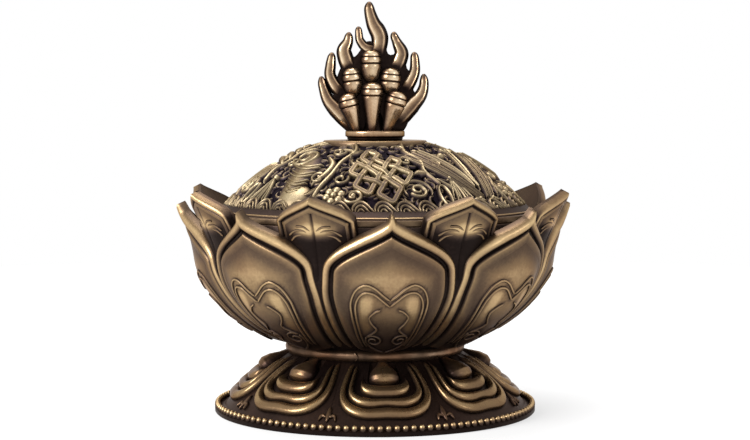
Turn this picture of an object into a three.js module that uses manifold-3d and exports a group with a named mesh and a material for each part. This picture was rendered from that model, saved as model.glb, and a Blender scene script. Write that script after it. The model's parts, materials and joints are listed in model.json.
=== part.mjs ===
// A lotus incense cone holder: a flared stand, a bowl of two rows of petals, a pierced domed lid with the
// eight auspicious signs, and a finial of flaming jewels. Millimetres, +Z up, the front towards -Y, and the
// origin at the centre of the stand's foot.
import * as THREE from "three";
import { mergeVertices } from "three/addons/utils/BufferGeometryUtils.js";
import Module from "manifold-3d";

const wasm = await Module();
wasm.setup();

// Fits
const restGap = 0.05; // between two faces that only rest on each other
const screwGap = 0.3; // round a shank or a spigot in its hole
const lidPlay = 0.6; // round the lid in the mouth of the bowl

// Stand
const petalCount = 8;
const footRadius = 40;
const footEdge = 1.25; // height of the plain edge under the beads
const beadRadius = 0.65;
const beadInset = 1.1; // from the edge of the foot to the row of beads
const standHeight = 15;
const standTopRadius = 21.2;
const standWall = 2.2;
const flareInset = 2.4; // from the edge of the foot to the end of the flare
const flareCurve = 1.15; // over 1, the flare is steeper at its foot than at its neck
const flareRadius = footRadius - flareInset;

// The lines of a stand petal, from its edge in to the drop in its middle: half width in degrees, how far
// its foot stays inside the flare's end, how far it stands out of the flare, and the dent in its foot.
const standLines = [
  { halfAngle: 17.4, inset: 0.4, proud: 0.1, dent: 0.3 },
  { halfAngle: 16.0, inset: 1.4, proud: 0.95, dent: 0.5 },
  { halfAngle: 14.2, inset: 2.7, proud: 0.35, dent: 0.5 },
  { halfAngle: 12.8, inset: 3.7, proud: 1.25, dent: 0.3 },
  { halfAngle: 10.6, inset: 5.6, proud: 0.4, dent: 0 },
  { halfAngle: 9.0, inset: 6.8, proud: 1.5, dent: 0 },
  { halfAngle: 6.9, inset: 8.7, proud: 0.35, dent: 0 },
  { halfAngle: 4.2, inset: 10.2, proud: 1.9, dent: 0 },
];

// Bowl, with heights from its foot
const bowlFootMargin = 0.3; // the foot of the bowl stands out over the neck of the stand
const bowlFootHeight = 2;
const outerTipRadius = 48.9;
const outerTipHeight = 36.2;
const outerTipFlare = 4.9; // how far the outer tips stand out past the belly
const outerTipRise = 14.2; // and how far over it
const outerHalfAngle = 20.4;
const innerTipFlare = 6; // how far the inner tips stand out past the ledge
const innerTipRise = 3.3; // and how far over the outer tips
const innerShoulderDrop = 5.3; // from the inner tips down to where the petals are widest
const innerHalfWidth = 9;
const petalThickness = 2;
const petalRimWidth = 2;
const petalGrooveWidth = 1.1;
const ledgeDrop = 2.95; // from the outer tips down to where the lid rests
const ledgeInset = 2.2; // from the belly in to the outer edge of the ledge
const ledgeWidth = 3.2;
const floorHeight = 5.6;
const floorMargin = 0.5; // the floor inside is wider than the foot
const spigotRadius = 6;

const bowlFootRadius = standTopRadius + bowlFootMargin;
const floorRadius = bowlFootRadius + floorMargin;
const bellyRadius = outerTipRadius - outerTipFlare;
const bellyHeight = outerTipHeight - outerTipRise;
const ledgeRadius = bellyRadius - ledgeInset;
const ledgeHeight = outerTipHeight - ledgeDrop;
const mouthRadius = ledgeRadius - ledgeWidth;
const innerTipRadius = ledgeRadius + innerTipFlare;
const innerTipHeight = outerTipHeight + innerTipRise;

// Lid
const flangeThickness = 1.5;
const skirtDepth = 3;
const skirtWall = 1.6;
const domeFootMargin = 0.1; // the dome is wider at its foot than the mouth
const domeRise = 18.95;
const domeWall = 1.8;
const signProud = 0.6;
const vineProud = 0.3;
const strokeStep = 0.25; // between strokes that cross
const tieWidth = 1.8;
const tieOverlap = 1.1; // how far a tie runs into the cap and the flange
const capRadius = 13;
const capThickness = 1.7;
const bandHeight = 2.4;
const bandStep = 0.6; // from the foot of the dome out to the edge of its band
const lidTurn = -4.6; // degrees the lid stands turned in its seat

// Finial
const finialHeight = 34.2;
const collarRadius = 7.4;
const collarHeight = 2.4;
const hubRadius = 5.4;
const clubDepth = 3.1; // from the middle plane to the front and back jewels
const flameThickness = 3;
const fanThickness = 2.6;
const hubHeight = 7;

// Fasteners
const finialScrew = { shank: 1.9, head: 3.6, headHeight: 2.2, reach: 5.5 };
const bowlScrew = { shank: 2.4, head: 4.4, headHeight: 2.6, reach: 3.8 };
const finialWasher = { radius: 5.4, thickness: 0.9 };
const bowlWasher = { radius: 9.4, thickness: 1 };

// Loose pieces in the bowl
const padMargin = 1.5; // between the edge of the pad and the end of the flat floor
const padThickness = 4;
const dishRadius = 13;
const dishHeight = 3.6;
const dishWall = 1.2;
const dishFootRadius = 8;
const dishFootHeight = 1.2;

const rad = THREE.MathUtils.degToRad;

const brass = new THREE.MeshStandardMaterial({ color: 0x8a6f45, roughness: 0.42, metalness: 0.9 });
const copper = new THREE.MeshStandardMaterial({ color: 0x9a6a45, roughness: 0.3, metalness: 0.95 });
const steel = new THREE.MeshStandardMaterial({ color: 0x9a9a98, roughness: 0.35, metalness: 1 });
const fibre = new THREE.MeshStandardMaterial({ color: 0xd9d6cc, roughness: 0.95, metalness: 0 });

// Solids

// A geometry's closed surface as a solid that can be joined and cut.
function toSolid(geometry) {
  const loose = geometry.index ? geometry.toNonIndexed() : geometry;
  const bare = new THREE.BufferGeometry().setAttribute("position", loose.getAttribute("position"));
  const merged = mergeVertices(bare, 1e-4);
  return new wasm.Manifold(
    new wasm.Mesh({
      numProp: 3,
      vertProperties: merged.attributes.position.array,
      triVerts: new Uint32Array(merged.index.array),
    }),
  );
}

function toMesh(name, solid, material) {
  const made = solid.getMesh();
  const geometry = new THREE.BufferGeometry();
  geometry.setAttribute("position", new THREE.BufferAttribute(made.vertProperties, 3));
  geometry.setIndex(new THREE.BufferAttribute(made.triVerts, 1));
  geometry.computeVertexNormals();
  const mesh = new THREE.Mesh(geometry, material);
  mesh.name = name;
  return mesh;
}

function join(solids) {
  return solids.reduce((whole, next) => whole.add(next));
}

// A profile of [radius, height] points, turned about Z. It runs upwards on the outside.
function turnedGeometry(profile, segments) {
  const points = profile.map(([radius, height]) => new THREE.Vector2(radius, height));
  return new THREE.LatheGeometry(points, segments).rotateX(Math.PI / 2);
}

function turned(profile, segments = 48) {
  return toSolid(turnedGeometry(profile, segments));
}

// A round bar between two heights.
function bar(radius, low, high, segments = 24) {
  return turned([[0, low], [radius, low], [radius, high], [0, high]], segments);
}

function around(geometry, degrees) {
  return toSolid(geometry.clone().rotateZ(rad(degrees)));
}

// Petals

function smooth(from, to, value) {
  return THREE.MathUtils.smoothstep(value, Math.min(from, to), Math.max(from, to));
}

// The points of a two-part meridian, each with the direction that faces out of the bowl.
function meridianRows(curves, stations) {
  return stations.map(([part, t]) => {
    const point = curves[part].getPoint(t);
    const along = curves[part].getTangent(t);
    return { radius: point.x, height: point.y, out: new THREE.Vector2(along.y, -along.x) };
  });
}

// Joins two rows of points, each point with its share across, by a band of triangles.
function stitch(faces, a, b, shareA, shareB) {
  let i = 0;
  let j = 0;
  while (i < a.length - 1 || j < b.length - 1) {
    const stepA = i < a.length - 1 && (j === b.length - 1 || shareA[i + 1] <= shareB[j + 1]);
    if (stepA) {
      faces.push(a[i + 1], a[i], b[j]);
      i += 1;
    } else {
      faces.push(a[i], b[j], b[j + 1]);
      j += 1;
    }
  }
}

// A closed sheet: rows of points on its front and on its back, given as functions of the row.
function sheetGeometry(rowCount, frontRow, backRow) {
  const places = [];
  const rows = [];
  const add = (points) =>
    points.map((point) => {
      places.push(point.x, point.y, point.z);
      return places.length / 3 - 1;
    });
  for (let i = 0; i < rowCount; i += 1) {
    const front = frontRow(i);
    const back = backRow(i);
    rows.push({ front: add(front.points), back: add(back.points), fs: front.shares, bs: back.shares });
  }
  const faces = [];
  const quad = (a, b, c, d) => faces.push(a, b, c, a, c, d);
  for (let i = 0; i < rowCount - 1; i += 1) {
    const [low, high] = [rows[i], rows[i + 1]];
    for (let j = 0; j < low.front.length - 1; j += 1) {
      quad(low.front[j], low.front[j + 1], high.front[j + 1], high.front[j]);
    }
    for (let j = 0; j < low.back.length - 1; j += 1) {
      quad(low.back[j + 1], low.back[j], high.back[j], high.back[j + 1]);
    }
    quad(low.front.at(-1), low.back.at(-1), high.back.at(-1), high.front.at(-1));
    quad(low.back[0], low.front[0], high.front[0], high.back[0]);
  }
  const [first, last] = [rows[0], rows.at(-1)];
  stitch(faces, first.front, first.back, first.fs, first.bs);
  const top = [];
  stitch(top, last.front, last.back, last.fs, last.bs);
  for (let k = 0; k < top.length; k += 3) faces.push(top[k + 1], top[k], top[k + 2]);
  const geometry = new THREE.BufferGeometry();
  geometry.setAttribute("position", new THREE.Float32BufferAttribute(places, 3));
  geometry.setIndex(faces);
  return geometry;
}

// How far a petal's edge has opened at a share of the way from its tip to its shoulder.
function opening(share, round, ogee) {
  return (1 - (1 - THREE.MathUtils.clamp(share, 0, 1)) ** round) ** ogee;
}

// A petal round the front of the bowl. Its face is a raised rim, a groove and a swelling panel, laid out by
// the distance from its edge; its edges fall back behind its middle line.
function petalGeometry({ rows, halfWidth, relief, fallBack, back }) {
  const slope = rows.map((row, i) => {
    const [a, b] = [rows[Math.max(i - 1, 0)], rows[Math.min(i + 1, rows.length - 1)]];
    const rise = Math.hypot(b.radius - a.radius, b.height - a.height);
    return (halfWidth(b.height) - halfWidth(a.height)) / rise;
  });
  const place = (row, share, lift) => {
    const width = halfWidth(row.height);
    const depth = lift - fallBack * share * share * Math.min(1, width / innerHalfWidth);
    const radius = row.radius + row.out.x * depth;
    const angle = (share * width) / row.radius;
    const x = Math.sin(angle) * radius;
    return new THREE.Vector3(x, -Math.cos(angle) * radius, row.height + row.out.y * depth);
  };
  const sharesOf = (i) => {
    const width = halfWidth(rows[i].height);
    const stretch = Math.hypot(1, slope[i]);
    const last = relief.length - 1;
    const half = relief.map(([distance], k) => {
      const share = 1 - (distance * stretch) / width;
      return Math.max(share, (0.85 * (last - k)) / last);
    });
    half[0] = 1;
    return { half, width, stretch };
  };
  const lift = (distance) => {
    const k = relief.findIndex(([edge]) => distance < edge);
    if (k <= 0) return k === 0 ? relief[0][1] : relief.at(-1)[1];
    const [[d0, h0], [d1, h1]] = [relief[k - 1], relief[k]];
    return THREE.MathUtils.mapLinear(distance, d0, d1, h0, h1);
  };
  const frontRow = (i) => {
    const { half, width, stretch } = sharesOf(i);
    const shares = [...half.map((s) => -s), 0, ...half.slice().reverse()];
    const points = shares.map((share) => {
      const distance = ((1 - Math.abs(share)) * width) / stretch;
      return place(rows[i], share, lift(distance));
    });
    return { points, shares };
  };
  const backRow = (i) => {
    const shares = [-1, 0, 1];
    return { points: shares.map((share) => place(rows[i], share, -back(rows[i].height))), shares };
  };
  return sheetGeometry(rows.length, frontRow, backRow);
}

const v2 = (x, y) => new THREE.Vector2(x, y);

// The outer petals' middle line, from the foot out to the belly and on to the tip that turns outwards.
const outerMeridian = [
  new THREE.CubicBezierCurve(
    v2(bowlFootRadius + 0.3, bowlFootHeight - 0.8),
    v2(bowlFootRadius + 11.5, bowlFootHeight + 1.5),
    v2(bellyRadius - 1.5, bellyHeight - 8.5),
    v2(bellyRadius, bellyHeight),
  ),
  new THREE.CubicBezierCurve(
    v2(bellyRadius, bellyHeight),
    v2(bellyRadius + 0.8, bellyHeight + 4),
    v2(outerTipRadius - 2.3, outerTipHeight - 4.7),
    v2(outerTipRadius, outerTipHeight),
  ),
];

function outerPetal() {
  const lower = [0, 0.42].map((t) => [0, t]);
  const upper = [0, 0.28, 0.52, 0.74, 0.9, 0.985].map((t) => [1, t]);
  const rows = meridianRows(outerMeridian, [...lower, ...upper]);
  const full = rad(180 / petalCount - 0.1);
  const shoulder = rad(outerHalfAngle);
  const halfWidth = (height) => {
    const angle = full + (shoulder - full) * smooth(bellyHeight - 11, bellyHeight - 3, height);
    const share = (outerTipHeight - height) / (outerTipHeight - bellyHeight);
    const near = rows.reduce((a, b) => (Math.abs(b.height - height) < Math.abs(a.height - height) ? b : a));
    return Math.max(angle * near.radius * opening(share, 2.6, 1.8), 0.25);
  };
  const relief = [
    [0, 0],
    [petalRimWidth / 2, 0.6],
    [petalRimWidth, -0.3],
    [petalRimWidth + petalGrooveWidth, 0.4],
  ];
  const freeHeight = ledgeHeight - 5;
  const back = (height) => petalThickness + 1.2 * (1 - smooth(freeHeight, ledgeHeight, height));
  return petalGeometry({ rows, halfWidth, relief, fallBack: 2, back });
}

function innerPetal() {
  const foot = v2(ledgeRadius - 0.2, bellyHeight - 1);
  const curve = new THREE.CubicBezierCurve(
    foot,
    v2(foot.x + 0.3, foot.y + 8),
    v2(innerTipRadius - 2.6, innerTipHeight - 6.5),
    v2(innerTipRadius, innerTipHeight),
  );
  const rows = meridianRows([curve], [0, 0.5, 0.74, 0.9, 0.985].map((t) => [0, t]));
  const halfWidth = (height) => {
    const share = (innerTipHeight - height) / innerShoulderDrop;
    return Math.max(innerHalfWidth * opening(share, 1.4, 1.2), 0.25);
  };
  const relief = [
    [0, 0],
    [petalRimWidth * 0.4, 0.4],
    [petalRimWidth * 0.9, -0.2],
  ];
  return petalGeometry({ rows, halfWidth, relief, fallBack: 1.4, back: () => petalThickness });
}

// Bowl, from the flat that stands on the stand. Its wall follows the petals' grooves.
function bowlBody() {
  const wallBack = petalThickness + 0.7;
  const wall = meridianRows(outerMeridian, [0.15, 0.45, 0.75, 1].map((t) => [0, t]));
  const outside = wall.map(({ radius, height, out }) => [
    radius - out.x * wallBack,
    Math.max(height - out.y * wallBack, bowlFootHeight + 0.2),
  ]);
  return turned([
    [0, 0],
    [bowlFootRadius, 0],
    [bowlFootRadius, bowlFootHeight],
    ...outside,
    [ledgeRadius, bellyHeight + 3],
    [ledgeRadius, ledgeHeight],
    [0, ledgeHeight],
  ], 24);
}

function bowlHollow() {
  const side = new THREE.CubicBezierCurve(
    v2(floorRadius, floorHeight),
    v2(floorRadius + 9, floorHeight + 0.5),
    v2(mouthRadius - 1.1, floorHeight + 9.5),
    v2(mouthRadius, ledgeHeight - 5.2),
  );
  const points = side.getPoints(5).map((p) => [p.x, p.y]);
  const over = innerTipHeight + 1;
  return turned([[0, floorHeight], ...points, [mouthRadius, over], [0, over]], 24);
}

function bowl() {
  const step = 360 / petalCount;
  const outer = outerPetal();
  const inner = innerPetal();
  const petals = [];
  for (let i = 0; i < petalCount; i += 1) {
    petals.push(around(outer, i * step), around(inner, (i + 0.5) * step));
  }
  const spigotEnd = -(standWall - 0.2);
  const spigot = bar(spigotRadius, spigotEnd, 1, 20);
  const hole = bar(bowlScrew.shank + screwGap, spigotEnd - 1, bowlScrew.reach + screwGap, 12);
  return join([bowlBody(), ...petals]).subtract(bowlHollow()).add(spigot).subtract(hole);
}

// Stand, from its foot up

const flareLow = footEdge + beadRadius;

// A point of the flare at a share of the way from the neck to the foot, raised by an amount.
function flarePoint(share, angle, proud) {
  const tilt = rad(45);
  const drop = (standHeight - flareLow) * share ** flareCurve;
  const radius = THREE.MathUtils.lerp(standTopRadius, flareRadius, share) + Math.sin(tilt) * proud;
  const height = Math.min(standHeight - drop + Math.cos(tilt) * proud, standHeight);
  return [Math.sin(angle) * radius, -Math.cos(angle) * radius, height];
}

// The flare under the petals of the stand: each petal is a nest of U-shaped lines about the middle of the
// neck, and the last line is the straight border that two petals share.
function flareGeometry() {
  const turns = 12;
  const sector = rad(180 / petalCount);
  const half = Array.from({ length: turns + 1 }, (_, j) => (Math.PI * j) / turns);
  const uLine = ({ halfAngle, inset, proud, dent }) =>
    half.map((turn) => {
      const [x, y] = [Math.cos(turn), Math.sin(turn)];
      const wide = Math.sign(x) * Math.abs(x) ** 0.62 * rad(halfAngle);
      const foot = flareRadius - inset - dent * Math.max(0, 1 - Math.abs(x) / 0.4);
      const share = ((foot - standTopRadius) / (flareRadius - standTopRadius)) * y ** 0.5;
      return [-wide, share, proud * Math.min(1, 0.55 + y)];
    });
  const border = half.map((turn) => {
    const [x, y] = [Math.cos(turn), Math.sin(turn)];
    const reach = Math.max(Math.abs(x), y);
    return [(-x / reach) * sector, y / reach, 0];
  });
  const lines = [border, ...standLines.map(uLine)];
  const corners = [];
  const foot = [0, 0, flareLow];
  const neck = [0, 0, standHeight];
  const triangle = (a, b, c) => corners.push(...a, ...b, ...c);
  for (let i = 0; i < petalCount; i += 1) {
    const nest = lines.map((points) =>
      points.map(([angle, share, proud]) => flarePoint(share, angle + 2 * sector * i, proud)),
    );
    const inner = nest.at(-1);
    for (let k = 0; k < nest.length - 1; k += 1) {
      const [outside, inside] = [nest[k], nest[k + 1]];
      triangle(outside[0], inside[0], neck);
      triangle(inside[turns], outside[turns], neck);
      for (let j = 0; j < turns; j += 1) {
        triangle(outside[j], outside[j + 1], inside[j + 1]);
        triangle(outside[j], inside[j + 1], inside[j]);
      }
    }
    triangle(inner[0], inner[turns], neck);
    for (let j = 0; j < turns / 2; j += 1) {
      triangle(inner[j], inner[j + 1], inner[turns - j - 1]);
      triangle(inner[j], inner[turns - j - 1], inner[turns - j]);
    }
    for (let j = turns / 4; j < (3 * turns) / 4; j += 1) {
      triangle(nest[0][j + 1], nest[0][j], foot);
    }
  }
  const geometry = new THREE.BufferGeometry();
  geometry.setAttribute("position", new THREE.Float32BufferAttribute(corners, 3));
  return geometry;
}

function stand() {
  const beadRow = footRadius - beadInset;
  const foot = turned([
    [0, 0],
    [footRadius, 0],
    [footRadius, footEdge],
    [beadRow + beadRadius, footEdge],
    [beadRow, footEdge + beadRadius * 1.6],
    [flareRadius - 0.6, flareLow],
    [0, flareLow],
  ], 40);
  const top = standHeight - standWall;
  const hollow = turned([
    [0, -1],
    [flareRadius - 1.2, -1],
    [flareRadius - 1.2, 0.4],
    [standTopRadius + 0.62 * (flareRadius - standTopRadius), standHeight - 9.8],
    [standTopRadius + 0.1, standHeight - 4.3],
    [standTopRadius - 3, top],
    [0, top],
  ], 24);
  const hole = bar(spigotRadius + screwGap, 0, standHeight + 1, 20);
  return toSolid(flareGeometry()).add(foot).subtract(hollow).subtract(hole);
}

// Lid, from the underside of its flange

const domeFootRadius = mouthRadius + domeFootMargin;
const domeRadius = (domeFootRadius ** 2 + domeRise ** 2) / (2 * domeRise);
const domeCentre = flangeThickness + domeRise - domeRadius;
const capSlope = Math.asin(capRadius / domeRadius);
const footSlope = Math.asin(domeFootRadius / domeRadius);
const capTop = domeCentre + Math.cos(capSlope) * domeRadius + 0.15;
const signSlope = (capSlope + footSlope) / 2;
const signReach = ((footSlope - capSlope) / 2) * domeRadius;

// The signs are drawn in steps of this length, 15.73 of them from the middle of a sign to the flange.
const signStep = signReach / 15.73;
const tieEnd = (signReach + tieOverlap) / signStep;
const tieBand = tieWidth / signStep;

// Bends a drawing onto the dome at a turn about Z. Its x runs round the dome and its y up it, from the middle
// of a sign. It stands out of the dome by an amount and is sunk into its underside by another, so that
// strokes that cross lie over and under each other.
function onDome({ shape, turn, proud, sunk }) {
  const depth = domeWall + proud - sunk;
  const geometry = new THREE.ExtrudeGeometry(shape, { depth, bevelEnabled: false, curveSegments: 3 });
  const places = geometry.getAttribute("position");
  for (let i = 0; i < places.count; i += 1) {
    const slope = signSlope - (places.getY(i) * signStep) / domeRadius;
    const angle = rad(turn - 90) + (places.getX(i) * signStep) / (domeRadius * Math.sin(slope));
    const radius = domeRadius - domeWall + sunk + places.getZ(i);
    const out = Math.sin(slope) * radius;
    const height = domeCentre + Math.cos(slope) * radius;
    places.setXYZ(i, out * Math.cos(angle), out * Math.sin(angle), height);
  }
  return toSolid(geometry);
}

// Drawings for the lid. Each is a list of layers from the top one down.

// A band of even width along points, or one that narrows to its end.
function ribbon(points, width, { steps = (points.length - 1) * 2, end = width } = {}) {
  const curve = new THREE.SplineCurve(points.map(([x, y]) => v2(x, y)));
  const side = (sign) =>
    Array.from({ length: steps + 1 }, (_, i) => {
      const t = i / steps;
      const p = curve.getPoint(t);
      const along = curve.getTangent(t);
      const half = (sign * THREE.MathUtils.lerp(width, end, t)) / 2;
      return v2(p.x + along.y * half, p.y - along.x * half);
    });
  return new THREE.Shape([...side(1), ...side(-1).reverse()]);
}

function line(x0, y0, x1, y1, width, steps = 1) {
  return ribbon([[x0, y0], [x1, y1]], width, { steps });
}

// A band that rolls in on itself, from a turn in degrees about a point.
function curl(x, y, start, radius, width, turns = 0.75) {
  const points = Array.from({ length: 5 }, (_, i) => {
    const angle = rad(start) + (i / 4) * turns * Math.PI * 2;
    const reach = radius * (1 - i * 0.15);
    return [x + Math.cos(angle) * reach, y + Math.sin(angle) * reach];
  });
  return ribbon(points, width, { steps: 3, end: width * 0.7 });
}

function disc(x, y, radius) {
  return new THREE.Shape().absarc(x, y, radius, 0, Math.PI * 2);
}

// A leaf from one point to another, as wide as told at its middle.
function leaf(x0, y0, x1, y1, width) {
  const side = v2(y0 - y1, x1 - x0).normalize().multiplyScalar(width);
  const [mx, my] = [(x0 + x1) / 2, (y0 + y1) / 2];
  const shape = new THREE.Shape();
  shape.moveTo(x0, y0);
  shape.quadraticCurveTo(mx - side.x, my - side.y, x1, y1);
  shape.quadraticCurveTo(mx + side.x, my + side.y, x0, y0);
  return shape;
}

// A flat figure from the points of its border, which may run either way, and of its holes.
function outline(points, holes = []) {
  const border = points.map(([x, y]) => v2(x, y));
  const shape = new THREE.Shape(THREE.ShapeUtils.isClockWise(border) ? border.reverse() : border);
  shape.holes = holes.map((hole) => new THREE.Path(hole.map(([x, y]) => v2(x, y))));
  return shape;
}

// A figure that is alike on both sides, from the points of its right half between its two ties: one that runs
// down to the flange and one that runs up to the cap.
function mirrored(right, holes = []) {
  const half = tieBand / 2;
  const side = [[half, -tieEnd], [half, right[0][1]], ...right];
  side.push([half, right.at(-1)[1]], [half, tieEnd]);
  return outline([...side, ...side.map(([x, y]) => [-x, y]).reverse()], holes);
}

function tie(x, y, side) {
  return line(x, y, x * 0.6, side * tieEnd, tieBand);
}

// A lattice of bars on the slant, taller than wide, whose bars close in a loop on each side.
function endlessKnot() {
  const [near, far, loop, half, tall] = [1.9, 5.5, 8.6, 0.75, 1.4];
  const slant = ([u, v]) => [(u + v) / Math.SQRT2, ((u - v) / Math.SQRT2) * tall];
  const quarterTurned = ([u, v], times) => (times ? quarterTurned([-v, u], times - 1) : [u, v]);
  const quarters = [0, 1, 2, 3];
  const cell = (u0, u1, v0, v1) => {
    const [a, b, c, d] = [u0 + half, u1 - half, v0 + half, v1 - half];
    return [[a, c], [a, d], [b, d], [b, c]];
  };
  const cells = [
    cell(-near, near, -near, near),
    ...quarters.flatMap((times) =>
      [cell(near, far, -near, near), cell(near, far, near, far), cell(far, loop, -near, near)].map((hole) =>
        hole.map((point) => quarterTurned(point, times)),
      ),
    ),
  ];
  const [edge, end, side] = [far + half, loop + half, near + half];
  const low = [[tieBand - edge, edge], [-side, edge], [-side, end], [side, end], [side, edge]];
  const high = low.map(([u, v]) => [v, u]).reverse();
  const right = [...low, [edge, edge], ...high];
  return [[mirrored(right.map(slant), cells.map((hole) => hole.map(slant)))]];
}

function conch() {
  const body = leaf(-5, 10, 3, -11, 9);
  const lip = ribbon([[2.6, -10], [7.4, -4], [6.5, 3], [1, 7]], 1.8, { steps: 4 });
  return [[curl(-3, 5.4, 200, 4, 1.8), lip], [body, tie(-4.4, 8.6, 1), tie(2, -9, -1)]];
}

function parasol() {
  const dome = mirrored([[1.2, 2.8], [8.4, 2.4], [6.6, 7], [3.4, 10], [1.2, 11]]);
  const tassels = [-6.6, -3.4, 3.4, 6.6].map((x) => leaf(x, 4, x * 1.15, -8.6, 2.4));
  return [[dome], tassels];
}

// A tiered banner, each tier wider than the one over it.
function banner() {
  const tiers = [[6.6, -9.4], [5.8, -4], [4.8, 0.8], [4, 5.2], [3.2, 9.4]];
  const slits = tiers.slice(0, -1).map(([x, y]) => {
    const [half, top, low] = [x - 2.4, y + 1.7, y - 0.1];
    return [[-half, top], [half, top], [half, low], [-half, low]];
  });
  return [[mirrored(tiers.flatMap(([x, y]) => [[x - 1.1, y - 0.9], [x, y]]), slits)]];
}

function wheel() {
  const at = (radius, turn) => [Math.sin(rad(turn)) * radius, Math.cos(rad(turn)) * radius];
  const knob = (turn) => [at(8, turn + 11), at(9.8, turn), at(8, turn - 11)];
  const right = [at(8, 169), ...[135, 90, 45].flatMap(knob), at(8, 11)];
  const gaps = Array.from({ length: 8 }, (_, i) => i * 45 + 22.5);
  return [[mirrored(right, gaps.map((turn) => [at(3, turn), at(6, turn + 13.5), at(6, turn - 13.5)]))]];
}

function vase() {
  const scarves = [-1, 1].map((side) => ribbon([[side * 4.4, 2], [side * 8, -1], [side * 6, -8]], 1.5));
  const right = [[3.4, -9], [2.6, -6.6], [5.6, -3], [5, 1.4], [2.2, 4], [2.2, 6.4], [4.6, 8.2], [2.4, 11.6]];
  return [[mirrored(right)], scarves];
}

function lotus() {
  const petal = (turn) => {
    const [x, y] = [Math.sin(rad(turn)) * 13, Math.cos(rad(turn)) * 13 - 3.5];
    return leaf(0, -6, x, y, 4.6);
  };
  const middle = mirrored([[2.4, -6.6], [1.6, -4], [2.4, 1], [2, 4.5], [1, 8]]);
  return [[middle], [petal(-34), petal(34)], [petal(-68), petal(68)]];
}

function fishPair() {
  const body = (side) => {
    const spine = [[side * 5.6, 11], [side * 6.4, 3], [side * 1.4, -4], [-side * 4.6, -8.4]];
    return ribbon(spine, 4.4, { end: 1.6, steps: 4 });
  };
  const tail = (side) => leaf(-side * 3.6, -7, -side * 7.4, -13, 3.4);
  return [[body(1)], [body(-1)], [tail(1), tail(-1), tie(5.2, 10, 1), tie(-5.2, 10, 1), tie(0, -2, -1)]];
}

// A vine that fills the space between two signs and ties the cap to the flange.
function cloudVine() {
  const spine = [[-0.4, tieEnd], [0.8, 8], [-1.2, 0], [1, -8], [-0.4, -tieEnd]];
  const vine = ribbon(spine, tieBand, { steps: 4 });
  return [[curl(3, -8.6, 190, 3.2, 1.6), disc(-2.4, -10.6, 2.4)], [vine]];
}

function flangeBand() {
  const flangeRadius = mouthRadius + ledgeWidth - lidPlay - 0.2;
  const skirtRadius = mouthRadius - lidPlay;
  const bandSlope = footSlope - bandHeight / domeRadius;
  const onShell = (slope, radius) => [Math.sin(slope) * radius, domeCentre + Math.cos(slope) * radius];
  return turned([
    [skirtRadius - skirtWall, -skirtDepth],
    [skirtRadius, -skirtDepth],
    [skirtRadius, 0],
    [flangeRadius, 0],
    [flangeRadius, flangeThickness],
    [domeFootRadius + bandStep, flangeThickness],
    onShell(bandSlope, domeRadius),
    onShell(bandSlope, domeRadius - domeWall - strokeStep),
    [skirtRadius - skirtWall, -skirtDepth],
  ], 32);
}

function lidCap() {
  return turned([
    [0, capTop - capThickness],
    [capRadius, capTop - capThickness],
    [capRadius - 0.3, capTop],
    [0, capTop],
  ], 24);
}

function lid() {
  const signs = [endlessKnot, fishPair, lotus, vase, wheel, banner, parasol, conch];
  const step = 360 / signs.length;
  const laid = (layers, turn, proud) =>
    layers.flatMap((shapes, k) => {
      const sunk = k * strokeStep;
      return shapes.map((shape) => onDome({ shape, turn, proud: proud - sunk, sunk }));
    });
  const drawn = signs.flatMap((sign, i) => [
    ...laid(sign(), i * step, signProud),
    ...laid(cloudVine(), (i + 0.5) * step, vineProud),
  ]);
  const hole = bar(finialScrew.shank + screwGap, capTop - 4, capTop + 2, 12);
  const over = bar(domeFootRadius, capTop, capTop + 3, 8);
  const under = bar(domeFootRadius * 1.2, -skirtDepth, flangeThickness / 2, 8);
  return join(drawn).subtract(over).subtract(under).add(flangeBand()).add(lidCap()).subtract(hole);
}

// Finial, from the underside of its collar. It is drawn in steps of this length, 34.2 of them to its height.
const finialStep = finialHeight / 34.2;

// A jewel on its stem: a slim cone that swells to a ring and a round crown.
function clubGeometry(length, radius) {
  const profile = [
    [0, 0],
    [0.4, 0],
    [0.96, 0.7],
    [0.84, 0.75],
    [1, 0.82],
    [0.7, 0.93],
    [0, 1],
  ];
  return turnedGeometry(profile.map(([r, z]) => [r * radius, z * length]), 6);
}

function club(from, to, depth, radius) {
  const [a, b] = [from, to].map(([x, z]) => new THREE.Vector3(x * finialStep, depth, z * finialStep));
  const along = b.clone().sub(a);
  const turn = new THREE.Quaternion().setFromUnitVectors(
    new THREE.Vector3(0, 0, 1),
    along.clone().normalize(),
  );
  const drawn = clubGeometry(along.length(), radius * finialStep).applyQuaternion(turn);
  return toSolid(drawn.translate(a.x, a.y, a.z));
}

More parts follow.
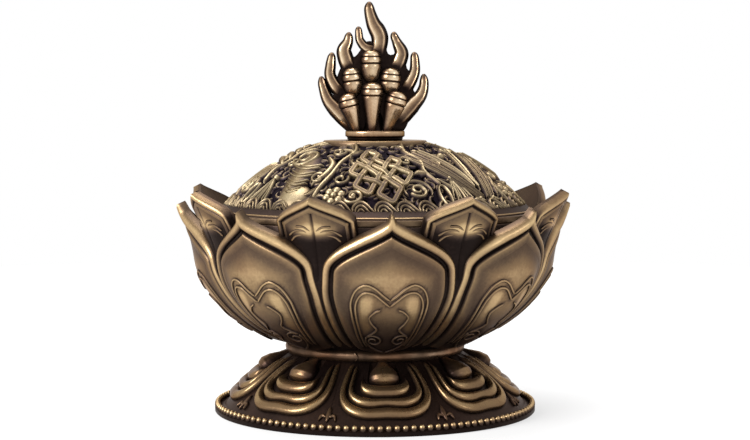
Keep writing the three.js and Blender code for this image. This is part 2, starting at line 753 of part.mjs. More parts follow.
// A tongue of flame: a rounded strip along points in the middle plane, thinning to its tip.
function flame(points, widths) {
  const curve = new THREE.SplineCurve(points.map(([x, z]) => v2(x * finialStep, z * finialStep)));
  const steps = 5;
  const sides = 6;
  const places = [];
  for (let i = 0; i <= steps; i += 1) {
    const t = i / steps;
    const p = curve.getPoint(t);
    const along = curve.getTangent(t);
    const at = t * (widths.length - 1);
    const k = Math.min(Math.floor(at), widths.length - 2);
    const width = (THREE.MathUtils.lerp(widths[k], widths[k + 1], at - k) * finialStep) / 2;
    const depth = Math.min(flameThickness / 2, width * 1.1);
    for (let j = 0; j < sides; j += 1) {
      const turn = (j / sides) * Math.PI * 2;
      const across = Math.cos(turn) * width;
      places.push(p.x + along.y * across, Math.sin(turn) * depth, p.y - along.x * across);
    }
  }
  const faces = [];
  for (let i = 0; i < steps; i += 1) {
    for (let j = 0; j < sides; j += 1) {
      const [a, b] = [i * sides + j, i * sides + ((j + 1) % sides)];
      faces.push(a, b, b + sides, a, b + sides, a + sides);
    }
  }
  for (let j = 1; j < sides - 1; j += 1) {
    faces.push(0, j + 1, j);
    const end = steps * sides;
    faces.push(end, end + j, end + j + 1);
  }
  const geometry = new THREE.BufferGeometry();
  geometry.setAttribute("position", new THREE.Float32BufferAttribute(places, 3));
  geometry.setIndex(faces);
  return toSolid(geometry);
}

function finial() {
  const base = collarHeight;
  const collar = turned([
    [0, 0],
    [collarRadius - 0.5, 0],
    [collarRadius, 0.5],
    [collarRadius, base - 0.4],
    [collarRadius - 0.5, base],
    [0, base],
  ], 20);
  const hub = turned([
    [0, 0],
    [hubRadius, 0],
    [hubRadius - 0.4, base],
    [hubRadius - 1.8, base + hubHeight - 1],
    [0, base + hubHeight],
  ], 8);
  const fan = new THREE.Shape([
    [6.2, 2.2], [8.9, 8.5], [8.6, 13], [7.5, 16.2], [5.6, 18.9], [2.4, 19.8], [1, 22.6],
    [-2.6, 22.1], [-4, 19.6], [-6.2, 18.6], [-7.6, 15.5], [-9, 11.5], [-9.3, 7], [-6.3, 2.2],
  ].map(([x, z]) => v2(x * finialStep, z * finialStep)));
  const web = new THREE.ExtrudeGeometry(fan, { depth: fanThickness, bevelEnabled: false });
  web.translate(0, 0, -fanThickness / 2).rotateX(Math.PI / 2);
  const flames = [
    flame(
      [[0.2, 21], [1, 24.7], [0.4, 27.2], [-1.1, 30], [-1.4, 32.4], [-1.2, 34.2]],
      [6, 4, 3.8, 3.2, 2.4, 0.5],
    ),
    flame([[-1.6, 21], [-3, 23.6], [-3.8, 25.8], [-3.9, 28]], [2.6, 2.2, 1.6, 0.5]),
    flame([[-6.4, 17], [-8.4, 20], [-8.3, 22.4], [-6.8, 24.4], [-6.5, 26.5]], [3.4, 2.8, 2.6, 1.9, 0.5]),
    flame([[-8, 12], [-10.4, 14.2], [-11.4, 17], [-11, 19.6], [-10.5, 21.6]], [3, 2.4, 2, 1.6, 0.5]),
    flame([[-6.4, 3], [-8.6, 5.4], [-11, 8.4], [-12.7, 12], [-13.6, 15.4]], [3, 3, 2.8, 2.2, 0.5]),
    flame([[5.2, 17.6], [7.4, 20], [7.1, 22.6], [5.2, 24.6], [4.9, 26.7]], [3.4, 2.8, 2.8, 1.9, 0.5]),
    flame([[7, 12.8], [8.8, 15], [10.2, 17.6], [10.3, 19.8], [9.9, 21.5]], [3, 2.4, 2, 1.7, 0.5]),
    flame([[6.6, 3], [8.6, 6], [11.2, 9.4], [12.7, 13.2], [12.5, 16.3]], [3, 3, 2.8, 2.2, 0.5]),
  ];
  const low = [
    [[-0.3, 2.3], [-0.5, 14.7], 2.8],
    [[-4.3, 2.3], [-7.6, 11], 2.7],
    [[3.2, 2.3], [5.6, 11.4], 2.7],
  ];
  const high = [
    [[-0.9, 12.5], [-1.3, 22.5], 2.6],
    [[-4.8, 8.6], [-6.3, 17.7], 2.4],
    [[3.8, 9], [4.3, 17.7], 2.5],
  ];
  const jewels = [
    ...low.flatMap(([from, to, radius]) => [-1, 1].map((side) => club(from, to, side * clubDepth, radius))),
    ...high.map(([from, to, radius]) => club(from, to, 0, radius)),
  ];
  const hole = bar(finialScrew.shank + screwGap, -1, finialScrew.reach + screwGap, 12);
  return join([collar, hub, toSolid(web), ...flames, ...jewels]).subtract(hole);
}

// Fasteners, from the seat of the head up the shank

function screw({ shank, head, headHeight }, length) {
  return turned([
    [0, -headHeight],
    [head * 0.55, -headHeight],
    [head * 0.92, -headHeight * 0.6],
    [head, 0],
    [shank, 0],
    [shank, length - 0.6],
    [shank - 0.6, length],
    [0, length],
  ], 10);
}

function washer({ radius, thickness }, hole) {
  const low = -thickness;
  return turned([[hole, low], [radius, low], [radius, 0], [hole, 0], [hole, low]], 12);
}

// Loose pieces

function pad() {
  const padRadius = floorRadius - padMargin;
  const edge = 0.8;
  return turned([
    [0, 0],
    [padRadius - edge, 0],
    [padRadius, edge],
    [padRadius, padThickness - edge],
    [padRadius - edge, padThickness],
    [0, padThickness],
  ], 20);
}

function dish() {
  const floor = dishFootHeight + dishWall;
  return turned([
    [0, dishFootHeight],
    [dishFootRadius - dishWall, dishFootHeight],
    [dishFootRadius - dishWall, 0],
    [dishFootRadius, 0],
    [dishFootRadius, dishFootHeight],
    [dishRadius - 1.4, dishFootHeight + 0.4],
    [dishRadius, dishHeight],
    [dishRadius - dishWall, dishHeight],
    [dishRadius - 1.4 - dishWall, floor],
    [0, floor],
  ], 20);
}

// Assembly

function placed(mesh, height) {
  mesh.position.z = height;
  return mesh;
}

const standGroup = new THREE.Group();
standGroup.add(toMesh("stand", stand(), brass));

const bowlGroup = new THREE.Group();
bowlGroup.position.z = standHeight + restGap;
const plateUnder = -standWall - 2 * restGap;
const bowlShank = bowlScrew.reach + bowlWasher.thickness + standWall;
bowlGroup.add(
  toMesh("lotus_bowl", bowl(), brass),
  placed(toMesh("bowl_washer", washer(bowlWasher, bowlScrew.shank + screwGap), steel), plateUnder),
  placed(
    toMesh("bowl_screw", screw(bowlScrew, bowlShank), steel),
    plateUnder - bowlWasher.thickness - restGap,
  ),
  placed(toMesh("fireproof_pad", pad(), fibre), floorHeight + restGap),
);

const dishGroup = new THREE.Group();
dishGroup.position.z = floorHeight + padThickness + 2 * restGap;
dishGroup.add(toMesh("cone_dish", dish(), brass));
bowlGroup.add(dishGroup);

const lidGroup = new THREE.Group();
lidGroup.position.z = ledgeHeight + restGap;
lidGroup.rotation.z = rad(lidTurn);
const capUnder = capTop - capThickness - restGap;
const finialShank = finialScrew.reach + finialWasher.thickness + capThickness + restGap;
lidGroup.add(
  toMesh("pierced_lid", lid(), brass),
  placed(toMesh("finial", finial(), copper), capTop + restGap),
  placed(toMesh("finial_washer", washer(finialWasher, finialScrew.shank + screwGap), steel), capUnder),
  placed(
    toMesh("finial_screw", screw(finialScrew, finialShank), steel),
    capUnder - finialWasher.thickness - restGap,
  ),
);
bowlGroup.add(lidGroup);

const holder = new THREE.Group();
holder.add(standGroup, bowlGroup);

export default holder;
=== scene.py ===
# A lotus incense cone holder in aged brass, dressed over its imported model. Lengths are in millimetres until a
# mesh is made; the front faces -Y and the origin is the centre of the stand's foot.
import bmesh
import bpy
import json
import numpy as np
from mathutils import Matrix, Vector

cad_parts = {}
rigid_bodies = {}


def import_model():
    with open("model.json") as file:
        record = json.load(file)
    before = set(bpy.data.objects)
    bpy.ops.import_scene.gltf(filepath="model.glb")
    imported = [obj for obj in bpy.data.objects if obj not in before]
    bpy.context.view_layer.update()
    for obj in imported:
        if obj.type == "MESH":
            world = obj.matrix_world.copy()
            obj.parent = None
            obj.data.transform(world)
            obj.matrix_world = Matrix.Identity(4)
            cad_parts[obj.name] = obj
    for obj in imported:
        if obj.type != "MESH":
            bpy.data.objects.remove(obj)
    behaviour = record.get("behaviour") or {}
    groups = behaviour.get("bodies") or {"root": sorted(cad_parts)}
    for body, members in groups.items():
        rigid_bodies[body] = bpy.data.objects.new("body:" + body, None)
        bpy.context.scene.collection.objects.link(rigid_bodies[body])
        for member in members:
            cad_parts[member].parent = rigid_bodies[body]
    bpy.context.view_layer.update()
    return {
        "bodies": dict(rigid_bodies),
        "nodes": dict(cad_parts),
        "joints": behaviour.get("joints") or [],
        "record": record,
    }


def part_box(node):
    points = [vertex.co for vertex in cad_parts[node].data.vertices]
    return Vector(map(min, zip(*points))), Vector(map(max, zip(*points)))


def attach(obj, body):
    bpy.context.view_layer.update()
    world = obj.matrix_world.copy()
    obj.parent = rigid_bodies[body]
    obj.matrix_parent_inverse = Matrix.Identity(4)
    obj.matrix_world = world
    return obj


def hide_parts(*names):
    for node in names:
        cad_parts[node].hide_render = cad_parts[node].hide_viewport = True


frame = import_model()
print("frame loaded")

# Shapes

# A smooth line through points, as many as told and evenly spaced: a cubic blend of each four neighbours.
def lineThrough(points, count, closed=False):
    p = np.asarray(points, float)
    p = np.vstack([p[-1:], p, p[:2]]) if closed else np.vstack([2 * p[0] - p[1], p, 2 * p[-1] - p[-2]])
    spans = len(p) - 3
    t = np.linspace(0, spans, 40 * spans + 1)
    i = np.minimum(t.astype(int), spans - 1)
    f = (t - i)[:, None]
    a, b, c, d = p[i], p[i + 1], p[i + 2], p[i + 3]
    dense = (2 * b + (c - a) * f + (2 * a - 5 * b + 4 * c - d) * f**2 + (3 * b - a - 3 * c + d) * f**3) / 2
    return evenly(dense, count, closed)


# The length of a line up to each of its points.
def lengthAlong(line):
    return np.append(0, np.cumsum(np.linalg.norm(np.diff(line, axis=0), axis=1)))


# The unit step to the right of a flat line, at each of its points.
def sideways(line):
    along = np.gradient(line, axis=0)
    along /= np.linalg.norm(along, axis=1)[:, None] + 1e-9
    return np.stack([along[:, 1], -along[:, 0]], -1)


# Points set at equal steps of length along a line.
def evenly(line, count, closed=False):
    reach = lengthAlong(line)
    want = np.linspace(0, reach[-1], count + 1)[:-1] if closed else np.linspace(0, reach[-1], count)
    return np.stack([np.interp(want, reach, axis) for axis in line.T], -1)


# Values spread evenly along a line, one for each of its points.
def spread(values, count):
    values = np.atleast_1d(np.asarray(values, float))
    return np.interp(np.linspace(0, 1, count), np.linspace(0, 1, len(values)), values)


def ease(value):
    value = np.clip(value, 0, 1)
    return value * value * (3 - 2 * value)


def circle(count):
    return np.linspace(0, 2 * np.pi, count, endpoint=False)


# The places at angles from the front, round Z, at a radius and a height.
def around(angle, radius, height):
    return np.stack(np.broadcast_arrays(np.sin(angle) * radius, -np.cos(angle) * radius, height), -1)


# The points turned about Z by each of the angles in degrees: x cos a - y sin a, x sin a + y cos a.
def turnedCopies(points, degrees):
    angle = np.radians(np.atleast_1d(degrees)).reshape((-1,) + (1,) * (points.ndim - 1))
    x, y, z = np.moveaxis(points, -1, 0)
    c, s = np.cos(angle), np.sin(angle)
    return np.stack([x * c - y * s, x * s + y * c, z + 0 * angle], -1)


# Grids of points gathered into one mesh. Each point has its tone: 0 in a hollow, for patina and painted
# shade, 1 on a rubbed ridge, for wear and a painted highlight.
class Skin:
    def __init__(self):
        self.points, self.relief, self.faces, self.total = [], [], [], 0

    # A grid, or several: every four neighbours make a face, and a wrapped side joins its opposite one.
    def grid(self, points, relief=0.6, wrapRows=False, wrapColumns=False):
        points = np.asarray(points, float)
        points = points[None] if points.ndim == 3 else points
        copies, rows, columns = points.shape[:3]
        index = self.total + np.arange(copies * rows * columns).reshape(copies, rows, columns)
        self.points.append(points.reshape(-1, 3))
        self.relief.append(np.broadcast_to(relief, (copies, rows, columns)).reshape(-1))
        self.total += copies * rows * columns
        if wrapRows:
            index = np.concatenate([index, index[:, :1]], 1)
        if wrapColumns:
            index = np.concatenate([index, index[:, :, :1]], 2)
        corners = [index[:, :-1, :-1], index[:, 1:, :-1], index[:, 1:, 1:], index[:, :-1, 1:]]
        self.faces.append(np.stack(corners, -1).reshape(-1, 4))

    # A closed leaf from its front and its back grid, whose borders are drawn together, at each of the turns.
    def leaf(self, front, back, relief, degrees, backRelief=0.3):
        front, back = turnedCopies(front, degrees), turnedCopies(back, degrees)
        both = np.concatenate([front, back[..., ::-1, :]], -2)
        shade = np.broadcast_to(relief, front.shape[:-1])
        shade = np.concatenate([shade, np.broadcast_to(backRelief, shade.shape)], -1)
        middle = (front + back) / 2
        seam = np.concatenate([middle, middle[..., ::-1, :]], -2)
        both = np.concatenate([seam[..., :1, :, :], both, seam[..., -1:, :, :]], -3)
        shade = np.concatenate([shade[..., :1, :], shade, shade[..., -1:, :]], -2)
        self.grid(both, shade, wrapColumns=True)

    # A strip whose rows are closed sections; both ends are drawn together, or the last row joins the first.
    def strip(self, points, relief, loop=False):
        relief = np.broadcast_to(relief, points.shape[:-1])
        if not loop:
            ends = np.repeat(points.mean(-2, keepdims=True), points.shape[-2], -2)
            points = np.concatenate([ends[..., :1, :, :], points, ends[..., -1:, :, :]], -3)
            relief = np.concatenate([relief[..., :1, :], relief, relief[..., -1:, :]], -2)
        self.grid(points, relief, wrapRows=loop, wrapColumns=True)

    # A profile of radius and height turned about Z in steps. A closed profile makes a ring.
    def turned(self, profile, relief=0.6, steps=128, closed=False):
        points = around(circle(steps)[:, None], *np.transpose(profile))
        self.grid(points, relief, wrapRows=True, wrapColumns=closed)


# A profile with each corner taken off by a short curve.
def softened(profile, cut=0.3, steps=3):
    p = np.asarray(profile, float)
    before, after = p[:-2] - p[1:-1], p[2:] - p[1:-1]
    reach = lambda v: v * np.minimum(cut / np.linalg.norm(v, axis=1), 0.45)[:, None]
    a, b = p[1:-1] + reach(before), p[1:-1] + reach(after)
    t = np.linspace(0, 1, steps + 1)[:, None, None]
    curve = a * (1 - t) ** 2 + p[1:-1] * 2 * t * (1 - t) + b * t**2
    return np.vstack([p[:1], curve.transpose(1, 0, 2).reshape(-1, 2), p[-1:]])


# A line of points that ends in the middle, followed by its mirror image.
def mirrored(points):
    half = np.array(points, float)
    return np.vstack([half, half[-2::-1] * (-1, 1)])


# Sections of a strip, as steps across and up, and the tone along the round one: patina and painted shade
# at its foot, wear and a painted highlight on its crest.
roundSection = mirrored([(-1, -0.6), (-1, 0), (-0.87, 0.5), (-0.5, 0.87), (0, 1)])
roundShade = np.array([0, 0.04, 0.3, 0.72, 1, 0.72, 0.3, 0.04, 0])
flatSection = mirrored([(-1, -0.6), (-1, 0.5), (-0.9, 0.86), (-0.66, 1), (0, 1)])


# A strip drawn flat: a section carried along a line of (x, y), as half widths and rises over a base level.
# Gives x, y and height for each row and section point. Round ends shrink the section by a circle's rule.
def drawn(line, half, rise, section, base=0.0, roundEnds=True):
    count = len(line)
    half, rise = spread(half, count), spread(rise, count)
    if roundEnds:
        reach = lengthAlong(line)
        near = np.minimum(reach, reach[-1] - reach) / (half.max() + 1e-9)
        shrink = np.sqrt(1 - (1 - np.clip(near, 0.03, 1)) ** 2)
        half, rise = half * shrink, rise * (0.4 + 0.6 * shrink)
    across, up = section.T
    place = line[:, None] + sideways(line)[:, None] * (half[:, None] * across)[..., None]
    return place[..., 0], place[..., 1], base + rise[:, None] * up


# Finishes

# A socket that Python's own signs work on: each sign adds a Math node.
class Value:
    def __init__(self, paint, socket):
        self.paint, self.socket = paint, socket

    def sign(self, operation, *values):
        settings = {"operation": operation}
        return self.paint.value("ShaderNodeMath", settings, dict(enumerate(values)), 0)

    def __add__(self, other):
        return self.sign("ADD", self, other)

    def __sub__(self, other):
        return self.sign("SUBTRACT", self, other)

    def __rsub__(self, other):
        return self.sign("SUBTRACT", other, self)

    def __mul__(self, other):
        return self.sign("MULTIPLY", self, other)

    __radd__, __rmul__ = __add__, __mul__

    def clamped(self):
        return self.sign("MINIMUM", self.sign("MAXIMUM", self, 0), 1)


# The nodes of a material or of the world.
class Paint:
    def __init__(self, owner):
        owner.use_nodes = True
        self.owner, self.tree = owner, owner.node_tree
        self.tree.nodes.clear()

    # A node of a type, with its settings first and then the values or links of its sockets.
    def node(self, kind, settings, sockets):
        made = self.tree.nodes.new(kind)
        for key, value in settings.items():
            if key == "stops":
                self.ramp(made.color_ramp, value)
            else:
                setattr(made, key, value)
        for key, value in sockets.items():
            if isinstance(value, Value):
                self.tree.links.new(value.socket, made.inputs[key])
            else:
                made.inputs[key].default_value = value
        return made

    def value(self, kind, settings, sockets, output):
        return Value(self, self.node(kind, settings, sockets).outputs[output])

    def ramp(self, ramp, stops):
        while len(ramp.elements) < len(stops):
            ramp.elements.new(0.5)
        for element, (position, colour) in zip(ramp.elements, stops):
            element.position = position
            element.color = (*colour, 1)

    def noise(self, scale, detail=3.0, stretch=(1, 1, 1)):
        place = self.value("ShaderNodeTexCoord", {}, {}, "Object")
        place = self.value("ShaderNodeMapping", {}, {"Vector": place, "Scale": stretch}, "Vector")
        sockets = {"Vector": place, "Scale": scale, "Detail": detail}
        return self.value("ShaderNodeTexNoise", {}, sockets, 0)

    def finish(self, shader, output="ShaderNodeOutputMaterial"):
        self.node(output, {}, {"Surface": shader})
        return self.owner


# Colours are written as they look in the photograph, 0 to 255.
def ink(r, g, b):
    c = np.array([r, g, b]) / 255
    return tuple(np.where(c <= 0.04045, c / 12.92, ((c + 0.055) / 1.055) ** 2.4))


# The stops of a ramp from the hollows, with patina and painted shade, up to the rubbed ridges and painted
# highlights, at shares of the tone.
def tones(*colours, shares=(0, 0.2, 0.45, 0.7, 1)):
    return [(share, ink(*colour)) for share, colour in zip(shares, colours)]


# Aged metal. The piece's tone, which holds patina and wear as well as painted shade and highlights,
# blurred by clouds and broken by grain, picks the colour from the dark patina and painted shade of the
# hollows up to rubbed metal and painted highlights, and the same value makes the ridges smoother.
def agedMetal(name, look):
    paint = Paint(bpy.data.materials.new(name))
    relief = paint.value("ShaderNodeAttribute", {"attribute_name": "relief"}, {}, "Fac")
    cloud = paint.noise(look["cloudScale"])
    grain = paint.noise(look["grainScale"], 4)
    brushed = paint.noise(look["grainScale"] * 0.5, 2, look["brush"])
    cloudedWearAndShade = (relief + (cloud - 0.5) * look["cloud"] + (grain - 0.5) * look["grain"]).clamped()
    metal = paint.value("ShaderNodeValToRGB", {"stops": look["stops"]}, {"Fac": cloudedWearAndShade}, "Color")
    warmth = ((paint.noise(look["cloudScale"] * 0.6, 2) - 0.42) * 3).clamped() * look["warmth"]
    sockets = {0: warmth, 6: metal, 7: (*look["warm"], 1)}
    settings = {"data_type": "RGBA", "blend_type": "MULTIPLY"}
    colour = paint.value("ShaderNodeMix", settings, sockets, 2)
    smooth, rough = look["roughness"]
    roughness = rough - cloudedWearAndShade * (rough - smooth) + (grain - 0.5) * 0.12
    sockets = {"Height": grain * 0.6 + brushed * 0.4, "Distance": look["bump"], "Strength": 1.0}
    normal = paint.value("ShaderNodeBump", {}, sockets, "Normal")
    sockets = {"Base Color": colour, "Roughness": roughness, "Metallic": 0.7 + cloudedWearAndShade * 0.3, "Normal": normal,
               "Specular IOR Level": 0.2, "Specular Tint": (*look["edge"], 1)}
    return paint.finish(paint.value("ShaderNodeBsdfPrincipled", {}, sockets, "BSDF"))


brassLook = {
    "stops": tones((28, 21, 19), (56, 45, 40), (92, 76, 61), (136, 113, 84), (206, 177, 132)),
    "cloudScale": 130, "cloud": 0.2, "grainScale": 1500, "grain": 0.16, "brush": (1, 1, 0.15),
    "bump": 0.00004, "roughness": (0.3, 0.5),
    "warmth": 0.5, "warm": ink(228, 210, 212), "edge": ink(205, 194, 188),
}
lidLook = brassLook | {
    "stops": tones((22, 17, 26), (50, 42, 49), (84, 73, 67), (120, 105, 82), (178, 162, 130)),
    "roughness": (0.4, 0.6), "cloud": 0.4, "grain": 0.25, "edge": ink(150, 135, 125),
}
standLook = brassLook | {
    "stops": tones((27, 19, 17), (54, 41, 35), (96, 76, 58), (130, 106, 77), (192, 166, 122)),
    "roughness": (0.22, 0.42), "cloud": 0.25,
}
copperLook = brassLook | {
    "stops": tones((17, 12, 12), (46, 35, 30), (104, 84, 68), (170, 143, 112), (248, 226, 192)),
    "roughness": (0.17, 0.34), "warm": ink(240, 212, 204), "bump": 0.00002, "edge": ink(150, 135, 120),
}
neckLook = brassLook | {
    "stops": tones((20, 15, 12), (46, 36, 29), (74, 59, 47), (104, 84, 67), (156, 130, 106)),
    "cloudScale": 160, "cloud": 1.5, "warmth": 0.8, "warm": ink(250, 212, 186),
}
steelLook = brassLook | {
    "stops": tones((70, 68, 66), (120, 118, 114), (168, 166, 162), (206, 204, 200), shares=(0, 0.3, 0.62, 1)),
    "warmth": 0.1, "roughness": (0.25, 0.4), "brush": (0.1, 1, 1), "cloud": 0.15,
}
brass = agedMetal("agedBrass", brassLook)
lidBrass = agedMetal("lidBrass", lidLook)
darkBrass = agedMetal("darkBrass", standLook)
copper = agedMetal("finialCopper", copperLook)
neckCopper = agedMetal("neckCopper", neckLook)
steel = agedMetal("brushedSteel", steelLook)
print("finishes made")


# A skin becomes a piece: doubles merged, faces turned outwards, shaded smooth up to an angle.
def makePiece(name, skin, body, material, nodes=(), sharp=50):
    points = np.concatenate(skin.points).astype(np.float32) * 0.001
    faces = np.concatenate(skin.faces).astype(np.int32)
    mesh = bpy.data.meshes.new(name)
    mesh.vertices.add(len(points))
    mesh.vertices.foreach_set("co", points.ravel())
    mesh.loops.add(faces.size)
    mesh.loops.foreach_set("vertex_index", faces.ravel())
    mesh.polygons.add(len(faces))
    mesh.polygons.foreach_set("loop_start", np.arange(0, faces.size, 4, dtype=np.int32))
    mesh.update(calc_edges=True)
    relief = mesh.attributes.new("relief", "FLOAT", "POINT")
    relief.data.foreach_set("value", np.concatenate(skin.relief).astype(np.float32))
    work = bmesh.new()
    work.from_mesh(mesh)
    bmesh.ops.remove_doubles(work, verts=work.verts, dist=1e-6)
    bmesh.ops.recalc_face_normals(work, faces=work.faces)
    work.to_mesh(mesh)
    work.free()
    mesh.shade_smooth()
    mesh.set_sharp_from_angle(angle=np.radians(sharp))
    mesh.materials.append(material)
    piece = bpy.data.objects.new(name, mesh)
    bpy.context.scene.collection.objects.link(piece)
    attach(piece, body)
    if nodes:
        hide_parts(*nodes)
    mesh.calc_loop_triangles()
    print(name, len(mesh.loop_triangles), "triangles")
    return piece


# Stand

stand = {
    "height": 15, "topRadius": 21.2, "flareRadius": 37.6, "flareLow": 1.9, "flareCurve": 1.15,
    "ribSteps": 12, "turns": 64,
    "beads": 126, "beadSize": (0.76, 0.76, 0.98), "beadRow": 39.3, "beadHeight": 1.7,
    # half width in degrees and reach of the nested lines: the border, both edges of each rib and the line
    # round the drop; how far they dent in the middle; how high each rib stands, where its arms end
    "halfAngle": [22.46, 20.5, 17.9, 16.6, 14.8, 11.3, 9.4, 8.4],
    "reach": [37.8, 36.4, 34.2, 33.95, 31.75, 31.3, 28.5, 28.2],
    "dent": [0.1, 0.5, 0.7, 0.6, 0.1, 0, 0, 0], "ribRise": [1.35, 1.6, 1.85], "ribEnd": [0.04, 0.08, 0.34],
}


standRun = stand["flareRadius"] - stand["topRadius"]
standTurns = np.arange(8) * 45


# The flare at shares from the neck to the foot and at angles from the front, raised by a height: the radius
# runs evenly, the fall is the share to a power, and the raise points out at 45 degrees.
def onFlare(share, angle, proud):
    radius = stand["topRadius"] + share * standRun + 0.707 * proud
    fall = (stand["height"] - stand["flareLow"]) * np.clip(share, 0, 1.2) ** stand["flareCurve"]
    height = np.minimum(stand["height"] - fall + 0.707 * proud, stand["height"])
    return around(angle, radius, height)


# One petal of the stand: nested U lines with a round rib between the two edges of each. A line is an arc of a
# rounded square at its foot, whose arms run up to the neck. Rows run from the border in, columns round the U.
def standPetal():
    steps = stand["ribSteps"]
    wave = (1 - np.cos(np.pi * np.arange(steps) / steps)) / 2
    ribs = [[*(i + wave), i + 1, i + 1.5] for i in (1, 3, 5)]
    line = np.concatenate([np.linspace(0, 1, 8)[:-1], *ribs, [7]])[:, None]
    half, reach, dent = (np.interp(line, np.arange(8), stand[key]) for key in ("halfAngle", "reach", "dent"))
    rise, end = (np.interp(line, [1.5, 3.5, 5.5], stand[key]) for key in ("ribRise", "ribEnd"))
    place = (line - 1) % 2
    rib = np.where((line > 1) & (place < 1), np.sqrt(np.clip(1 - np.abs(2 * place - 1) ** 3, 0, 1)), 0)
    turn = np.pi * np.arange(stand["turns"] + 1) / stand["turns"]
    along = np.abs(2 * turn / np.pi - 1)
    bend, arm = np.pi / 2 * np.minimum(along / 0.62, 1), np.clip((along - 0.62) / 0.38, 0, 1)
    wide = np.sin(bend) ** 0.74 * (1 - 0.1 * arm**1.5)
    widest = np.interp(line, [1, 6], [0.46, 0.8])
    depth = widest * (1 - arm) + (1 - widest) * np.clip(np.cos(bend), 0, 1) ** 0.74
    dented = reach - dent * np.exp(-((wide / 0.35) ** 2))
    share = (dented - stand["topRadius"]) / standRun * depth
    x, y = np.cos(turn), np.sin(turn)
    frame = np.maximum(np.abs(x), y)
    border = np.clip(1 - line, 0, 1)
    angle = -np.radians((1 - border) * half * wide * np.sign(x) + border * stand["halfAngle"][0] * x / frame)
    share = (1 - border) * share + border * y / frame
    arms = ease((share - end) / 0.14)
    rise = rise * arms * np.interp(share, [0, 0.3, 0.7], [0.35, 0.75, 1])
    proud = np.interp(line, [0, 1, 7], [-0.2, -0.1, 0.0]) + rise * rib
    front = onFlare(share, angle, proud)
    back = onFlare(share, angle, proud * 0 - 1.4)
    # Painted highlights: each rib is lighter at the rounded corners of its U than in the middle of its foot.
    lit = np.interp(wide, [0, 0.35, 0.7, 0.9, 1], [0.74, 0.78, 0.96, 0.92, 0.86])
    relief = np.where(line < 1, 0.16, 0.04 + 0.84 * rib**0.7 * lit * arms)
    return front, back, relief


# The drop in the middle of a petal: a round bulge on a thin stem, flat at its foot, over the flare.
def standDrop():
    v = np.linspace(0, 1, 30)[:, None]
    reach = 21.6 + 6.7 * v
    shares = [0, 0.12, 0.25, 0.42, 0.6, 0.78, 0.9, 0.97, 1]
    width = np.interp(v, shares, [1.08, 1.296, 1.728, 2.592, 3.348, 3.6, 3.312, 2.52, 1.26])
    rise = np.interp(v, [0, 0.2, 0.5, 0.75, 0.92, 1], [0.6, 1.1, 2.3, 2.8, 2.3, 0.8])
    turn = np.linspace(0, np.pi, 21)
    share = (reach - stand["topRadius"]) / standRun
    angle = width * np.cos(turn) / reach
    front = onFlare(share + 0 * angle, angle, rise * np.sin(turn) ** 0.8 - 0.2)
    back = onFlare(share + 0 * angle, angle, 0 * angle - 0.9)
    relief = 0.1 + 0.6 * np.sin(turn) ** 2 * np.interp(v, [0, 0.3, 1], [0.6, 1, 1])
    return front, back, relief


# The leaves between two petals near the rim: short strips on the flare, up the middle and to each side.
def standLeaves(skin):
    upright = ([(0, 12.2), (0, 15.6)], [0.35, 0.8, 0.3])
    spreading = ([(0.3, 14.6), (1.5, 14.2), (2.1, 15.4)], [0.3, 0.5, 0.25])
    for line, half in (upright, spreading):
        for side in (-1, 1):
            x, y, up = drawn(lineThrough(np.array(line) * (side, 1), 14), half, 0.7, roundSection)
            points = onFlare(y / standRun, x / (stand["topRadius"] + y), up - 0.2)
            skin.strip(turnedCopies(points, standTurns + 22.5), roundShade * 0.5)


# A closed profile of the walls: out over the foot, up the flare under its petals and back down inside.
def standWalls():
    share = np.linspace(1, 0, 14)
    outside = onFlare(share, 0 * share, 0 * share - 0.75)
    inside = [(18.2, 12.8), (21.3, 10.7), (26, 8.6), (31.4, 5.2), (36.4, 0.4), (36.4, 0.03)]
    rim = [(36.4, 0.03), (39.8, 0.03), (40, 0.25), (40, 1.0), (39.7, 1.25), (38.4, 1.3), (37.4, 1.75)]
    neck = [(21.0, 14.98), (6.3, 14.98), (6.3, 12.8)]
    flare = [(-y, z) for x, y, z in outside[1:-1]]
    return np.array(rim + flare + neck + inside[:-1])


standSkin = Skin()
standSkin.leaf(*standPetal(), standTurns)
standSkin.leaf(*standDrop(), standTurns)
standLeaves(standSkin)
walls = standWalls()
# The walls take a low tone, and the lower edge of the rim, under the beads, the darkest: painted shade at the
# foot.
standSkin.turned(walls, np.where(walls[:, 1] < 1.1, 0, 0.2), 160, closed=True)
makePiece("stand_cast", standSkin, "base", darkBrass, ["stand"])

# The beads: small balls of a few faces, set round the rim.
beadSkin = Skin()
v = np.linspace(0, np.pi, 7)[:, None]
bead = around(circle(8), np.sin(v), np.cos(v)) * stand["beadSize"]
bead = bead + [0, -stand["beadRow"], stand["beadHeight"]]
# Painted light: a bead is lighter on its top and darker underneath.
beadShade = 0.16 + 0.8 * ease((np.cos(v) + 0.3) / 1.0)
beadTurns = np.arange(stand["beads"]) * 360 / stand["beads"]
beadSkin.grid(turnedCopies(bead, beadTurns), beadShade, wrapColumns=True)
makePiece("rim_beads", beadSkin, "base", brass)
print("stand made")

# Bowl

